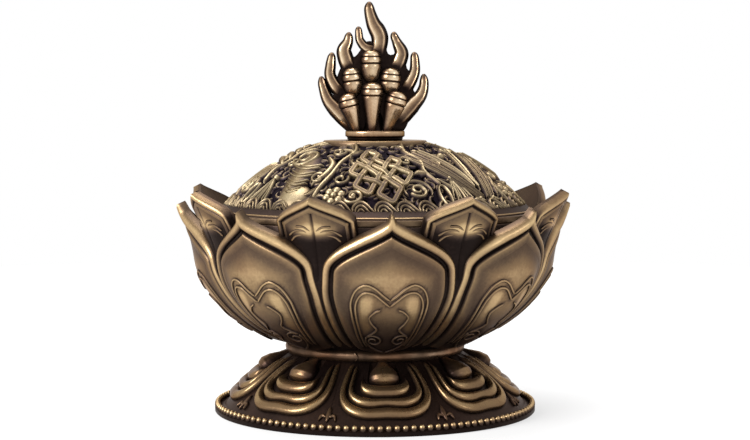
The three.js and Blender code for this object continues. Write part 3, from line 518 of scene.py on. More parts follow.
bowl = {
    "lift": 15.05, "thickness": 2.0, "outerTip": 36.5, "innerTip": 39.9, "outerFall": 2.0, "innerFall": 1.4,
    "outerAngle": (22.35, 21.1), "panelAt": 4.6, "panel": 0.32, "swell": 0.55,
    # the curves of the bowl inside and of the petals' middle lines, as radius and height
    "inside": [(22, 5.6), (31, 6.1), (37.5, 15.1), (38.6, 28.1)],
    "belly": [(21.8, 2.3), (32.4, 4.6), (42.1, 14.0), (44, 22)],
    "outerLip": [(44, 22), (44.8, 26), (46.6, 31.5), (48.9, 36.5)],
    "innerLine": [(41.6, 21), (41.9, 29), (45.6, 33), (48.9, 39.9)],
    "innerHalf": 9.8, "neckRadius": 20.9, "neckHeight": 16.0, "neckThick": 1.5,
    # the borders from the outline in: distance, lift and tone of the rim, the groove and the panel's edge;
    # the tone is patina in the groove, wear and a painted highlight on the rim
    "outerBorder": [
        (-0.02, -1.7, 0.36), (-0.1, -0.7, 0.46), (-0.08, -0.1, 0.6), (0.08, 0.34, 0.78), (0.4, 0.66, 0.95),
        (0.8, 0.78, 0.9), (1.3, 0.72, 0.78), (1.72, 0.46, 0.5), (2.0, 0.0, 0.06), (2.18, -0.5, 0),
        (2.62, -0.55, 0), (2.84, -0.2, 0.02), (3.0, 0.16, 0.4), (3.22, 0.36, 0.74), (3.6, 0.44, 0.6),
        (4.2, 0.44, 0.5), (4.8, 0.38, 0.44), (5.6, 0.22, 0.42), (5.6, -1.5, 0),
    ],
    "innerBorder": [
        (-0.02, -1.3, 0.5), (-0.06, -0.2, 0.7), (0.08, 0.26, 0.8), (0.4, 0.46, 0.92), (0.8, 0.46, 0.75),
        (1.15, 0.2, 0.3), (1.32, -0.2, 0), (1.5, -0.22, 0), (1.66, 0.0, 0.3), (1.9, 0.16, 0.66),
        (2.4, 0.18, 0.6), (3.0, 0.0, 0.6), (3.0, -1.2, 0),
    ],
}


# A Bezier curve of four points.
def bezier(points, count=200):
    t = np.linspace(0, 1, count)[:, None]
    a, b, c, d = np.array(points, float)
    return a * (1 - t) ** 3 + 3 * b * t * (1 - t) ** 2 + 3 * c * t**2 * (1 - t) + d * t**3


# How far a petal's edge has opened at a share of the way from its tip to its shoulder.
def opening(share, shoulder, ogee):
    return (1 - (1 - np.clip(share, 0, 1)) ** shoulder) ** ogee


bowlInside = bezier(bowl["inside"])


# A petal laid flat: x across it and y up along its middle line. Its surface at x, y and a lift is found by
# going y along the line, the lift out of it, and round the bowl by x; the edges fall back by the square of x.
# Nothing of it comes nearer than 0.4 to the inside of the bowl.
class Petal:
    def __init__(self, meridian, halfWidth, fall):
        self.line = meridian
        self.out = sideways(meridian)
        self.y = lengthAlong(meridian)
        self.width = halfWidth(meridian)
        self.top, self.fall = self.y[-1], fall

    def at(self, values, y):
        return np.interp(y, self.y, values)

    def place(self, x, y, lift):
        share = np.clip(np.abs(x) / np.maximum(self.at(self.width, y), 0.3), 0, 1.1)
        lift = lift - self.fall * share**2 * np.minimum(1, self.at(self.width, y) / 9)
        radius = self.at(self.line[:, 0], y)
        out = radius + self.at(self.out[:, 0], y) * lift
        height = self.at(self.line[:, 1], y) + self.at(self.out[:, 1], y) * lift
        out = np.maximum(out, np.interp(height, bowlInside[:, 1], bowlInside[:, 0] + 0.4, left=0))
        return around(x / radius, out, height + bowl["lift"])

    # The right half of the outline, from foot to tip, moved in by a distance until it meets the middle.
    def edge(self, inset=0.0):
        line = evenly(np.stack([self.width, self.y], -1), 500)
        moved = line - sideways(line) * inset
        moved = moved[: np.append(np.nonzero(moved[:, 0] <= 0)[0], len(moved) - 1)[0] + 1]
        moved[-1, 0] = 0
        return moved

    # Both borders of the petal in one closed section: each row of the section gives a distance from the
    # outline, a lift and a tone, and its points run along the outline moved in by that distance.
    def border(self, skin, section, copies, fade, count=120):
        distances, lifts, shades = np.array(section, float).T
        lines = np.stack([evenly(self.edge(distance), count) for distance in distances], 1)
        x, y = np.moveaxis(lines, -1, 0)
        # The tone fades with height by the given table, and the rim's outer faces, where the petals meet, are
        # painted dark as shade below the upper part of the petal.
        shade = shades * np.interp(y, fade[0], fade[1])
        shade = np.where(distances < 0.3, shade * ease((y - 0.62 * self.top) / (0.2 * self.top)), shade)
        for side in (-1, 1):
            skin.strip(turnedCopies(self.place(x * side, y, lifts + 0 * x), copies), shade)

    # The distance from points to the outline.
    def inward(self, x, y):
        edge = evenly(self.edge(), 160)
        away = np.hypot(np.abs(x)[..., None] - edge[:, 0], y[..., None] - edge[:, 1])
        return away.min(-1)


def outerWidth(meridian):
    radius, height = meridian.T
    low, high = bowl["outerAngle"]
    angle = np.radians(low + (high - low) * ease((height - 15) / 9))
    below = bowl["outerTip"] - height
    return np.maximum(angle * radius * opening(below / 14.4, 2.4, 2.5), 0.12 + 0.4 * np.clip(below, 0, 2.2))


def innerWidth(meridian):
    below = bowl["innerTip"] - meridian[:, 1]
    return np.maximum(bowl["innerHalf"] * opening(below / 5.6, 1.4, 1.2), 0.12)


outerLine = np.vstack([bezier(bowl["belly"])[:-1], bezier(bowl["outerLip"])])
outer = Petal(outerLine, outerWidth, bowl["outerFall"])
inner = Petal(bezier(bowl["innerLine"]), innerWidth, bowl["innerFall"])

# The scroll on an outer petal, as lines of x and world height on its right half: two lines of a heart, an S,
# a spiral and the lines that close it below. Each has its half width.
scrollLines = {
    "heart": ([
        (0, 32.2), (1.6, 33.4), (3.6, 35.0), (5.7, 35.6), (7.8, 34.2), (8.8, 31.2), (8.4, 28), (7.6, 25.2),
        (6.5, 22.1), (4.9, 19.2),
    ], 0.36),
    "heartInside": ([
        (0, 30.8), (1.8, 32.3), (3.7, 33.7), (5.6, 33.9), (7.0, 32.8), (7.7, 30.6), (7.4, 27.8), (6.6, 25),
        (5.5, 22), (4.1, 19.4),
    ], 0.36),
    "ess": ([(2.1, 30), (3.3, 29.4), (4.4, 28), (3.8, 26.5), (2.6, 25.1), (3.4, 23.9), (4.6, 22.8)], 0.3),
    "spiral": (
        [
            (4.6, 22.7), (3.4, 23.3), (1.9, 22.9), (1.4, 21.9), (2.4, 20.9), (3.8, 21.2), (3.9, 22.1),
            (2.9, 22.4), (2.4, 21.8),
        ],
        0.24,
    ),
    "close": ([(4.7, 22.6), (4.6, 21.3), (3.6, 20), (2, 19), (0.2, 18.4)], 0.28),
}


# A scroll line on the petal's own plane: the height gives y, and x is measured round the bowl.
def scrollPath(points, count=40):
    x, z = lineThrough(points, count).T
    y = np.interp(z - bowl["lift"], outer.line[:, 1], outer.y)
    radius = outer.at(outer.line[:, 0], y)
    return np.stack([radius * np.arcsin(np.clip(x / radius, -1, 1)), y], -1)


scrollPaths = {name: scrollPath(points) for name, (points, half) in scrollLines.items()}
scrollCloud = np.vstack(list(scrollPaths.values()))


# The lift of a petal's panel at a distance from its outline: under the border at first, then a level that
# swells towards the middle.
def panelLift(distance):
    swell = bowl["swell"] * ease((distance - bowl["panelAt"]) / 8)
    return bowl["panel"] + swell - 1.2 * ease((bowl["panelAt"] - distance) / 1.2)


# Rows and columns of a petal's face. Rows are closer towards the tip, columns towards the edges.
def petalGrid(petal, rows, columns):
    v = np.linspace(0, 1, rows)
    y = petal.top * (1 - (1 - v) ** 1.35)[:, None]
    u = np.linspace(-1, 1, columns)
    u = np.sign(u) * (1 - (1 - np.abs(u)) ** 1.25)
    return u * petal.at(petal.width, y), y + 0 * u


# A raised line on both halves of a petal.
def petalLine(skin, petal, path, half, rise, base, copies, shade):
    for side in (-1, 1):
        x, y, up = drawn(path * (side, 1), half, rise, roundSection, 0, True)
        level = base(np.abs(path[:, 0]), path[:, 1])[:, None]
        skin.strip(turnedCopies(petal.place(x, y, up + level), copies), roundShade * shade)


outerTurns = standTurns
innerTurns = standTurns + 22.5
print("petals laid out")

# Outer petals: a panel, its borders, and the scroll on it
petalSkin = Skin()
x, y = petalGrid(outer, 60, 61)
distance = outer.inward(x, y)
front = outer.place(x, y, panelLift(distance))
back = outer.place(x, y, 0 * x - bowl["thickness"] - 1.0 * ease((33 - y) / 4))
nearScroll = np.sqrt(((np.stack([np.abs(x), y], -1)[..., None, :] - scrollCloud) ** 2).sum(-1)).min(-1)
height = outer.at(outer.line[:, 1], y)
# Painted sheen and shade on the panel: lighter in its middle than by its border, brightest part way up, darker
# towards the foot and a little towards the tip, with a painted sheen inside the heart and painted shade beside
# the scroll lines.
panelShade = 0.43 + 0.34 * ease((distance - 4.5) / 6)
panelShade = panelShade * np.interp(height, [2, 8, 14, 22, 26.5, 32], [0.2, 0.34, 0.8, 1.04, 0.84, 0.72])
inHeart = ease((7.4 - np.abs(x)) / 1.2) * ease((np.abs(x) - 3.2) / 1.5)
inHeart = inHeart * ease((height - 6) / 4) * ease((18.6 - height) / 2)
panelShade = panelShade + 0.26 * inHeart - 0.4 * np.exp(-((nearScroll / 0.6) ** 2))
petalSkin.leaf(front, back, np.clip(panelShade, 0, 1), outerTurns, 0.35)
makePiece("outer_petals", petalSkin, "base", brass, ["lotus_bowl"])

rimSkin = Skin()
# The rims and the scroll lines darken towards the foot of the petal: painted shade and patina.
outer.border(rimSkin, bowl["outerBorder"], outerTurns, ([0, 8, 20, 30], [0.5, 0.6, 0.85, 1]))
for name, path in scrollPaths.items():
    level = lambda x, y: panelLift(outer.inward(x, y)) - 0.05
    fade = np.interp(path[:, 1], [0, 14, 22, 40], [0.4, 0.6, 0.85, 1])[:, None]
    petalLine(rimSkin, outer, path, scrollLines[name][1], 0.42, level, outerTurns, fade)
makePiece("outer_rims", rimSkin, "base", brass)

# Inner petals, each with a midrib and curls at its foot
innerSkin = Skin()
x, y = petalGrid(inner, 44, 45)
distance = inner.inward(x, y)
middle = np.exp(-((x / 0.3) ** 2))
face = 0.15 + 0.45 * ease((distance - 2.2) / 5) - 1.0 * ease((2.3 - distance) / 0.8) - 0.35 * middle
front = inner.place(x, y, face)
back = inner.place(x, y, 0 * x - bowl["thickness"])
# Painted light on the inner petals: a painted highlight across the middle above the curls, and painted shade
# towards the sides and below, where the petals sink between the outer ones.
glow = np.exp(-(((y - 12.6) / 1.5) ** 2) - (x / 4.2) ** 2)
shade = 0.5 + 0.28 * ease((distance - 2) / 4) + 0.4 * glow - 0.6 * middle
shade = shade * ease((y - 9.2 - 0.03 * x**2) / 3.2) * (1 - 0.45 * np.clip(np.abs(x) / 8, 0, 1) ** 2)
innerSkin.leaf(front, back, np.clip(shade, 0, 1), innerTurns, 0.35)
# The borders are painted dark below, as shade between the outer petals.
inner.border(innerSkin, bowl["innerBorder"], innerTurns, ([0, 9, 13], [0.1, 0.15, 1]), 70)
innerCurls = [
    [(0.5, 11.2), (2.4, 12.4), (4.6, 12.2), (6.4, 10.8)],
    [(0.5, 10.1), (2.5, 11.2), (4.6, 10.8), (6, 9.4)],
    [(0.5, 12.3), (2.2, 13.4), (4.2, 13.4)],
]
for curl in innerCurls:
    petalLine(innerSkin, inner, lineThrough(curl, 24), 0.3, 0.16, lambda x, y: 0 * x + 0.42, innerTurns, 0.75)
makePiece("inner_petals", innerSkin, "base", brass)

# The body of the bowl: foot, wall behind the petals, ledge, mouth, floor and the spigot in the stand's hole.
wall = outerLine[30:200:17]
normal = outer.out[30:200:17]
wall = np.stack([wall[:, 0] - normal[:, 0] * 1.6, np.maximum(wall[:, 1] - normal[:, 1] * 1.6, 2.0)], -1)
hollow = bezier(bowl["inside"], 16)
bodyProfile = softened(np.vstack([
    [(0, 0), (2.7, 0), (2.7, -2), (6, -2), (6, 0), (20.5, 0), (20.9, 2.1)], wall,
    [(41.8, 25), (41.8, 33.25), (38.6, 33.25)], hollow[::-1], [(0, 5.6)],
]), 0.35, 2)
bodySkin = Skin()
corner = np.arange(len(bodyProfile)) / 3
# Painted shade: the foot and the wall behind the petals, seen only in the gaps between them, are nearly black,
# and the ledge darkens towards the wall.
bodyShade = np.interp(corner, [0, 16, 17, 18, 19.5, 36], [0.02, 0.02, 0.1, 0.3, 0.35, 0.28])
bodySkin.turned(bodyProfile + (0, bowl["lift"]), bodyShade, 160)
makePiece("bowl_body", bodySkin, "base", brass)

# The neck: a half round ring under the petals, with the wire end that shows on its front.
neckSkin = Skin()
turn = np.linspace(-np.pi / 2, np.pi / 2, 13)
ring = bowl["neckThick"] * np.stack([np.cos(turn), np.sin(turn)], -1)
ring += (bowl["neckRadius"], bowl["neckHeight"])
ring = np.vstack([ring, ring[[-1, 0]] - (0.7, 0)])
neckShade = np.concatenate([0.12 + 0.5 * np.cos(turn) ** 1.2, [0.1, 0.1]])
neckSkin.turned(ring, neckShade, 160, closed=True)
wire = lineThrough([(-0.3, 17.1), (0.5, 16.4), (0.6, 15.6), (-0.1, 14.8)], 16)
x, y, up = drawn(wire, 0.2, 0.45, roundSection)
radius = bowl["neckRadius"] + 1.45 - 0.4 * (y - bowl["neckHeight"]) ** 2 + up
neckSkin.strip(around(np.radians(-17) + x / 22, radius, y), roundShade * 0.9)
makePiece("neck_ring", neckSkin, "base", neckCopper)
print("bowl made")

# Lid

lid = {
    "turn": -0.3, "radius": 48.992, "centre": 19.808, "capSlope": 0.26857, "footSlope": 0.91069, "waves": 44,
    "groundTop": -1.1, "groundLow": -2.1, "strokeFoot": -1.2,
    # the rows of holes in the ground: height up the dome, radius and count
    "holes": [
        (-10.6, 1.3, 40), (-6.6, 1.4, 36), (-2.4, 1.45, 34), (1.8, 1.4, 30), (5.8, 1.3, 26), (9.6, 1.2, 22),
    ],
}
signSlope = (lid["capSlope"] + lid["footSlope"]) / 2 - 0.012


# The dome at x round it and y up it from the middle of a sign that stands at a turn, raised by a lift. The
# slope falls with y, and x is measured on the circle at that slope.
def onDome(x, y, lift, turn=0.0):
    slope = signSlope - y / lid["radius"]
    angle = np.radians(turn + lid["turn"]) + x / (lid["radius"] * np.sin(slope))
    radius = lid["radius"] + 0.7 * lift - 0.33
    return around(angle, np.sin(slope) * radius, lid["centre"] + np.cos(slope) * radius)


# What is drawn at one time, as strips of x, y, rise and tone, and whether a strip is a loop.
sheet = []


# Lays what a function draws on the dome, once at each of the turns.
def lay(skin, drawing, turns):
    sheet.clear()
    drawing()
    for x, y, up, shade, loop in sheet:
        skin.strip(onDome(x, y, up, np.reshape(turns, (-1, 1, 1))), shade, loop)


# A strip along points with half widths, standing from under the ground up to a rise.
def stroke(points, half, rise=0.5, shade=1.0, loop=False, steps=None):
    count = steps or max(8, 5 * (len(points) - 1) + 3)
    line = lineThrough(points, count, loop) if len(points) > 2 else evenly(np.array(points, float), count)
    x, y, up = drawn(line, half, rise - lid["strokeFoot"], roundSection, lid["strokeFoot"], not loop)
    sheet.append((x, y, up, roundShade * shade, loop))


# A stroke and its mirror image.
def strokePair(points, *rest, **more):
    for side in (-1, 1):
        stroke(np.array(points) * (side, 1), *rest, **more)


# A stroke that arches over the middle, through heights at its ends, its shoulders and its middle.
def archStroke(width, share, heights, half, rise):
    low, shoulder, middle = heights
    points = [(-width, low), (-width * share, shoulder), (0, middle), (width * share, shoulder), (width, low)]
    stroke(points, half, rise, steps=32)


def arcPoints(x, y, radius, start, sweep, count=9, shrink=0.0, squash=1.0):
    angle = np.radians(start + sweep * np.linspace(0, 1, count))
    reach = radius * (1 - shrink * np.linspace(0, 1, count))
    return np.stack([x + np.cos(angle) * reach, y + np.sin(angle) * reach * squash], -1)


def curlStroke(x, y, radius, start, half, sweep, rise):
    points = arcPoints(x, y, radius, start, sweep, 16, 0.82)
    stroke(points, [half, half, half * 0.7], rise, steps=44)


# A half ball whose rings go on under the ground.
def ballStroke(x, y, radius, rise=0.8):
    v = np.linspace(0, np.pi / 2, 7)
    u = circle(16)
    foot = lid["strokeFoot"]
    reach = radius * np.append(np.sin(v), [1, 0])[:, None]
    up = np.append(foot + (rise - foot) * np.cos(v), [foot - 0.4, foot - 0.4])[:, None]
    shade = np.append(0.25 + 0.75 * np.cos(v), [0, 0])[:, None]
    sheet.append((x + reach * np.cos(u), y + reach * np.sin(u), up + 0 * u, shade, False))


# The endless knot: one band laid in a lattice whose axes lean, passing over and under itself, with painted
# highlights on its walls and edges.
# The line is given in steps along the two axes; each crossing lifts one band and lowers the other.
def endlessKnot():
    axes = np.array([(0.42, 0.91), (0.80, -0.60)])
    corners = [
        (2.6, -3.2), (3.0, 6.8), (-1.4, 6.8), (1.0, -6.7), (5.3, -6.7), (5.5, -3.8), (-9.3, -4.1),
        (-9.3, 0.1), (5.7, -0.4), (5.7, 2.4), (-8.0, 2.0), (-8.2, 6.3), (-3.0, 6.3), (-1.2, -6.9),
        (-5.8, -6.9), (-4.5, 1.7),
    ]
    line = evenly(softened(corners, 0.7, 5), 440)
    level = line[:, 0] * 0
    for i, (middle, lean) in enumerate([(2.7, 0.03), (-0.2, -0.17), (-2.1, -0.13), (-4.8, 0.15)]):
        for j, at in enumerate([-3.9, -0.2, 2.1]):
            away = np.hypot(line[:, 0] - middle - lean * at, line[:, 1] - at)
            level += (-1) ** (i + j) * np.exp(-((away / 0.9) ** 2))
    step = np.abs(np.gradient(line, axis=0))
    level *= np.where(step[:, 1] > step[:, 0], 0.34, -0.34)
    x, y, up = drawn(line @ axes, 0.68, 1, flatSection, 0, False)
    foot = lid["strokeFoot"] - 0.1
    up = foot + up * (0.85 + level[:, None] - foot)
    sheet.append((x, y, up, np.array([0, 0.8, 0.9, 0.8, 0.5, 0.8, 0.9, 0.8, 0]), False))


# Two fish with long fins that sweep out and up from the foot of the dome, each fin in parallel rays.
def fishPair():
    spine = lineThrough([(1.4, -11), (4.2, -5.6), (7.2, 0.8), (10.2, 7.4)], 16)
    strokePair(spine, [0.7, 2.2, 2.8, 2.6, 1.6], -0.35, 0.12, steps=36)
    for k in (-2, -1, 0, 1, 2):
        fan = spine + sideways(spine) * np.linspace(0.55, 1.25, 16)[:, None] * k
        strokePair(fan, [0.2, 0.28, 0.32, 0.34, 0.2], 0.8 - 0.15 * (k % 2), 0.75, steps=30)
    strokePair([(0.6, -11.4), (3, -10.6), (5.4, -11.6)], [0.3, 1.0, 0.3], 0.7)
    for x, half in ((0, 0.55), (1.5, 0.3)):
        fin = [(6.4 - x, 10), (4 - x, 4.4), (1.6 - x * 0.6, -2.2), (0.8, -7)]
        strokePair(fin, [0.3, half, half, 0.2], 0.6, steps=30)
    strokePair([(10.4, -3), (8, -7), (8.4, -10.4)], [0.3, 0.8, 0.3], 0.5)
    for x, y, radius, rise in ((-2.4, -10.6, 0.6, 1.2), (2.4, -10.6, 0.6, 1.2), (0, 6.6, 1.2, 0.8)):
        ballStroke(x, y, radius, rise)


def lotusFlower():
    for angle, size in ((-78, 9), (78, 9), (-52, 11), (52, 11), (-26, 12.5), (26, 12.5), (0, 12)):
        a = np.radians(angle)
        tip = np.array([np.sin(a) * size, np.cos(a) * size - 4.5])
        middle = np.array([np.sin(a * 0.86) * size * 0.5, np.cos(a * 0.86) * size * 0.55 - 5])
        rise = 0.9 - 0.35 * abs(angle) / 78
        stroke([(0, -6), middle, tip], [0.6, 2.1, 1.9, 0.2], rise)
        stroke([(0, -5), middle, tip * 0.9], [0.2, 0.25, 0.15], rise + 0.25, 0.9)
    strokePair([(0, -7), (4, -9), (8.4, -8), (9.4, -5)], [0.6, 1.4, 1.1, 0.3])
    stroke([(-2.6, -6.6), (0, -7.4), (2.6, -6.6)], 0.7, 0.9)


def treasureVase():
    outline = [(-10, 2.6), (-8, 1.8), (-5, 4.4), (-1, 5.2), (2.4, 3.4), (4.6, 1.6), (7, 2.2), (9, 2.9)]
    stroke([(0, y) for y, half in outline], [half for y, half in outline], 0.7, steps=48)
    for y, w in ((-7.6, 2.2), (-3, 4.9), (0.6, 4.6), (4.6, 1.9), (8, 2.9)):
        stroke([(-w, y + 0.5), (0, y - 0.4), (w, y + 0.5)], 0.35, 1.05, steps=16)
    strokePair([(1.5, 9), (3.4, 12), (2, 14)], [0.5, 1.2, 0.3])
    strokePair([(2.4, 3.6), (6, 3), (8, -0.6), (6.4, -5), (8, -9)], [0.5, 0.9, 0.9, 0.5])
    ballStroke(0, 11.6, 1.5, 0.9)


def wheel():
    for radius, half, rise, sweep, count, steps in (
        (6.8, 0.8, 0.8, 345, 24, 72), (5.4, 0.25, 0.5, 345, 24, 60), (2.6, 0.3, 0.6, 330, 12, 30),
    ):
        stroke(arcPoints(0, 0, radius, 0, sweep, count), half, rise, loop=True, steps=steps)
    for x, y in arcPoints(0, 0, 1, 0, 315, 8):
        stroke([(x, y), (x * 6.4, y * 6.4)], [0.45, 0.65, 0.45])
        ballStroke(x * 8.4, y * 8.4, 1.0, 0.7)
    ballStroke(0, 0, 2.1, 1.0)


def victoryBanner():
    for w, y in ((6.4, -8.2), (5.6, -4), (4.8, 0), (4, 3.8), (3.2, 7.4)):
        archStroke(w, 0.5, (y - 0.7, y + 0.3, y + 0.6), [0.7, 1.1, 1.1, 1.1, 0.7], 0.8)
        for x in np.linspace(-w * 0.8, w * 0.8, 6):
            stroke([(x, y - 0.8), (x * 1.03, y - 3.2)], [0.35, 0.5, 0.3], 0.3, steps=8)
    stroke([(0, 8), (0, 13.6)], [0.7, 1.3, 0.5], 0.7)


def parasol():
    for y, w, h in ((3.4, 8.6, 1.2), (6, 6.8, 1.2), (8.6, 4.6, 1.1), (10.8, 2.2, 0.9)):
        archStroke(w, 0.55, (y - 1.2, y + 0.3, y + 0.9), [h * 0.6, h, h, h, h * 0.6], 0.85)
    for x in np.linspace(-7.4, 7.4, 9):
        stroke([(x, 2.2), (x * 1.04, -2), (x * 1.12, -8.6)], [0.4, 0.85, 0.55, 0.2], 0.45)
    stroke([(0, 2), (0, -11)], [0.7, 0.6], 0.6)


def conchShell():
    spine = [(-4.6, 8.8), (-1.8, 5.4), (0.6, 0), (1.0, -5), (0, -11)]
    stroke(spine, [1.2, 3.6, 4.6, 3.2, 0.9], 0.65, 0.7, steps=44)
    curlStroke(-2.6, 5.2, 3.9, 200, 0.75, 620, 1.0)
    for y, w in ((1.4, 4.4), (-1.6, 4.1), (-4.6, 3.4), (-7.2, 2.4)):
        middle = 1.0 - y * 0.16
        for drop in (0, 1.1):
            band = [(middle - w, y + 1.0 - drop), (middle, y - 0.5 - drop), (middle + w, y + 0.6 - drop)]
            stroke(band, 0.3, 0.95, steps=18)
    ballStroke(3.4, -9.4, 4.4)
    for k in range(5):
        stroke(
            [(3.6 + 0.9 * k, 0.5 * k - 12.9), (4.4 + 1.1 * k, 0.9 * k - 14.4)], [0.2, 0.3, 0.15], 0.8,
            steps=8,
        )
    stroke([(6.4, -5.6), (7.6, -1), (6.8, 3), (3.6, 6.2)], [0.4, 1.0, 1.0, 0.4], 0.6)
    strokePair([(4, 10.5), (7.5, 9.6), (9.2, 6)], [0.4, 0.9, 0.3], 0.4)


# A flower of round petals about a ball.
def rosette(x, y, size):
    for px, py in arcPoints(x, y, size * 0.62, 20, 300, 6):
        ballStroke(px, py, size * 0.4, 0.5)
    ballStroke(x, y, size * 0.34, 0.95)


# A leaf with its middle line.
def leafStroke(x0, y0, x1, y1):
    middle = ((x0 + x1) / 2 + 0.5, (y0 + y1) / 2 + 0.4)
    stroke([(x0, y0), middle, (x1, y1)], [0.3, 1.0, 0.15], 0.4, 0.8)
    stroke([(x0, y0), middle, (x1 * 0.95, y1 * 0.95)], [0.12, 0.16, 0.08], 0.62)


# The curls and leaves that grow from a vine.
def growth(curls, leaves):
    for curl in curls:
        curlStroke(*curl)
    for leaf in leaves:
        leafStroke(*leaf)


# The growth between two signs is of two kinds in turn. The first is a vine with a flower and curls.
def flowerVine():
    stem = [(-0.6, 15.2), (1, 9.5), (-0.8, 4), (-1.8, -1.5), (-3.6, -6.5), (-4.6, -12)]
    stroke(stem, [0.6, 0.8, 0.7, 0.7, 0.6], 0.45, steps=44)
    rosette(0.8, -8.6, 2.9)
    ballStroke(5.6, -8.8, 0.8, 0.9)
    curls = [
        (5.8, -9, 2.3, 200, 0.62, 500, 0.7), (1.2, -3.2, 1.9, 40, 0.5, -440, 0.6),
        (-4.8, -3, 2.0, 60, 0.5, 440, 0.5), (
            3.6, 4.4, 1.9, 160, 0.5, 480, 0.5,
        ), (-2.8, 9, 1.9, 20, 0.5, -480, 0.5),
    ]
    growth(curls, [(-3.4, -6, -7.2, -9.6), (0.4, 7, 3.2, 10), (0.2, 11, -2.6, 13.6), (2.6, -0.4, 5.4, 1.2)])


# The second is a ribbon that ends in a loop beside a cloud, a leaf and a tassel.
def cloudVine():
    stroke(
        [(0.4, 15.2), (-1.4, 9), (0.4, 4), (-0.4, -0.4), (1.8, -5.6)], [0.6, 0.8, 0.8, 0.6, 0.5], 0.6,
        steps=40,
    )
    stroke(arcPoints(1.4, -9.4, 1.35, 90, 340, 18, squash=2.5), 0.42, 0.95, loop=True, steps=44)
    stroke(arcPoints(-4.9, -7.2, 3.4, -30, 240, 12), [0.3, 0.6, 0.6, 0.3], 0.4, 0.8, steps=36)
    stroke([(-3.6, -1.2), (-1.8, -0.6), (0.6, -1.6)], [0.4, 1.5, 0.2], 0.5, 0.85)
    for k in range(6):
        tassel = [(5, -3.6), (4.2 + 0.7 * k, -7.4), (3 + 1.3 * k, -11.6)]
        stroke(tassel, [0.26, 0.34, 0.34, 0.2], 0.4 + 0.2 * (k % 2), steps=14)
    ballStroke(5, -3.4, 0.9, 0.9)
    curls = [
        (-4.9, -7.2, 2.3, 200, 0.62, 540, 0.7), (3.8, 2.6, 1.9, 150, 0.5, -460, 0.5),
        (-3.4, 4.2, 1.8, 10, 0.5, 460, 0.5),
    ]
    growth(curls, [(0.6, 8, 3.8, 10.6), (-1, 10.4, -3.4, 12.6), (1.4, 12, 3.4, 14)])


signs = [endlessKnot, fishPair, lotusFlower, treasureVase, wheel, victoryBanner, parasol, conchShell]
signSkin = Skin()
for number, sign in enumerate(signs):
    lay(signSkin, sign, number * 45)
lay(signSkin, cloudVine, np.arange(22.5, 360, 90))
lay(signSkin, flowerVine, np.arange(67.5, 360, 90))
makePiece("lid_signs", signSkin, "lid", lidBrass)


# A wave at the foot of the dome: it curls over from its left and trails to the right, in nested ridges.
def wave():
    start = np.array([-0.7, -14.3])
    crest = [
        (-2.5, -14.3), (-2.7, -12.8), (-2.0, -11.4), (-0.7, -10.9), (0.5, -11.6), (1.6, -13.0), (2.9, -14.6),
    ]
    for share, half in ((1.0, 0.56), (0.66, 0.5), (0.32, 0.45)):
        line = start + (crest - start) * share
        stroke(line, [half * 0.7, half, half, half * 0.8, half * 0.4], 0.85 - 0.15 * share, 0.8, steps=15)


waveSkin = Skin()
lay(waveSkin, wave, np.arange(lid["waves"]) * 360 / lid["waves"])
makePiece("lid_waves", waveSkin, "lid", lidBrass)


# Small commas of foliage over the whole ground: they sit at even steps of the dome's area along a spiral.
# Each is an arc of its own bend and turn, thick at its head and thin at its tail.
def groundFoliage(count=760):
    chance = np.random.default_rng(5)
    i = (np.arange(count) + 0.5) / count
    low, high = np.cos(lid["footSlope"] - 0.08), np.cos(lid["capSlope"] + 0.03)
    slope = np.arccos(high + (low - high) * i)[:, None, None]
    turn = (np.arange(count) * 137.508)[:, None, None]
    spin = chance.uniform(0, 2 * np.pi, count)[:, None]
    t = np.linspace(0, 1, 9)
    side = np.where(chance.uniform(size=(count, 1)) < 0.5, -1, 1)
    size = chance.uniform(1.0, 1.5, (count, 1))
    heading = spin + side * 3.0 * t
    x, y = size * (np.sin(heading) - np.sin(spin)), size * (np.cos(spin) - np.cos(heading))
    half = 0.62 * np.sin(np.pi * (0.1 + 0.88 * t)) ** 0.7 * np.linspace(1.15, 0.6, 9)
    across = side[..., None] * half[:, None] * [-1, -0.6, 0, 0.6, 1, 0]
    px = x[..., None] + np.sin(heading)[..., None] * across
    py = y[..., None] - np.cos(heading)[..., None] * across
    lift = -1.15 + (0.9 * (half / half.max()) ** 0.5)[:, None] * [0, 0.75, 1, 0.75, 0, -0.6]
    points = onDome(px, py + (signSlope - slope) * lid["radius"], lift + 0 * px, turn)
    skin = Skin()
    skin.strip(points, np.array([0.02, 0.3, 0.75, 0.3, 0.02, 0]))
    return skin


makePiece("lid_foliage", groundFoliage(), "lid", lidBrass)


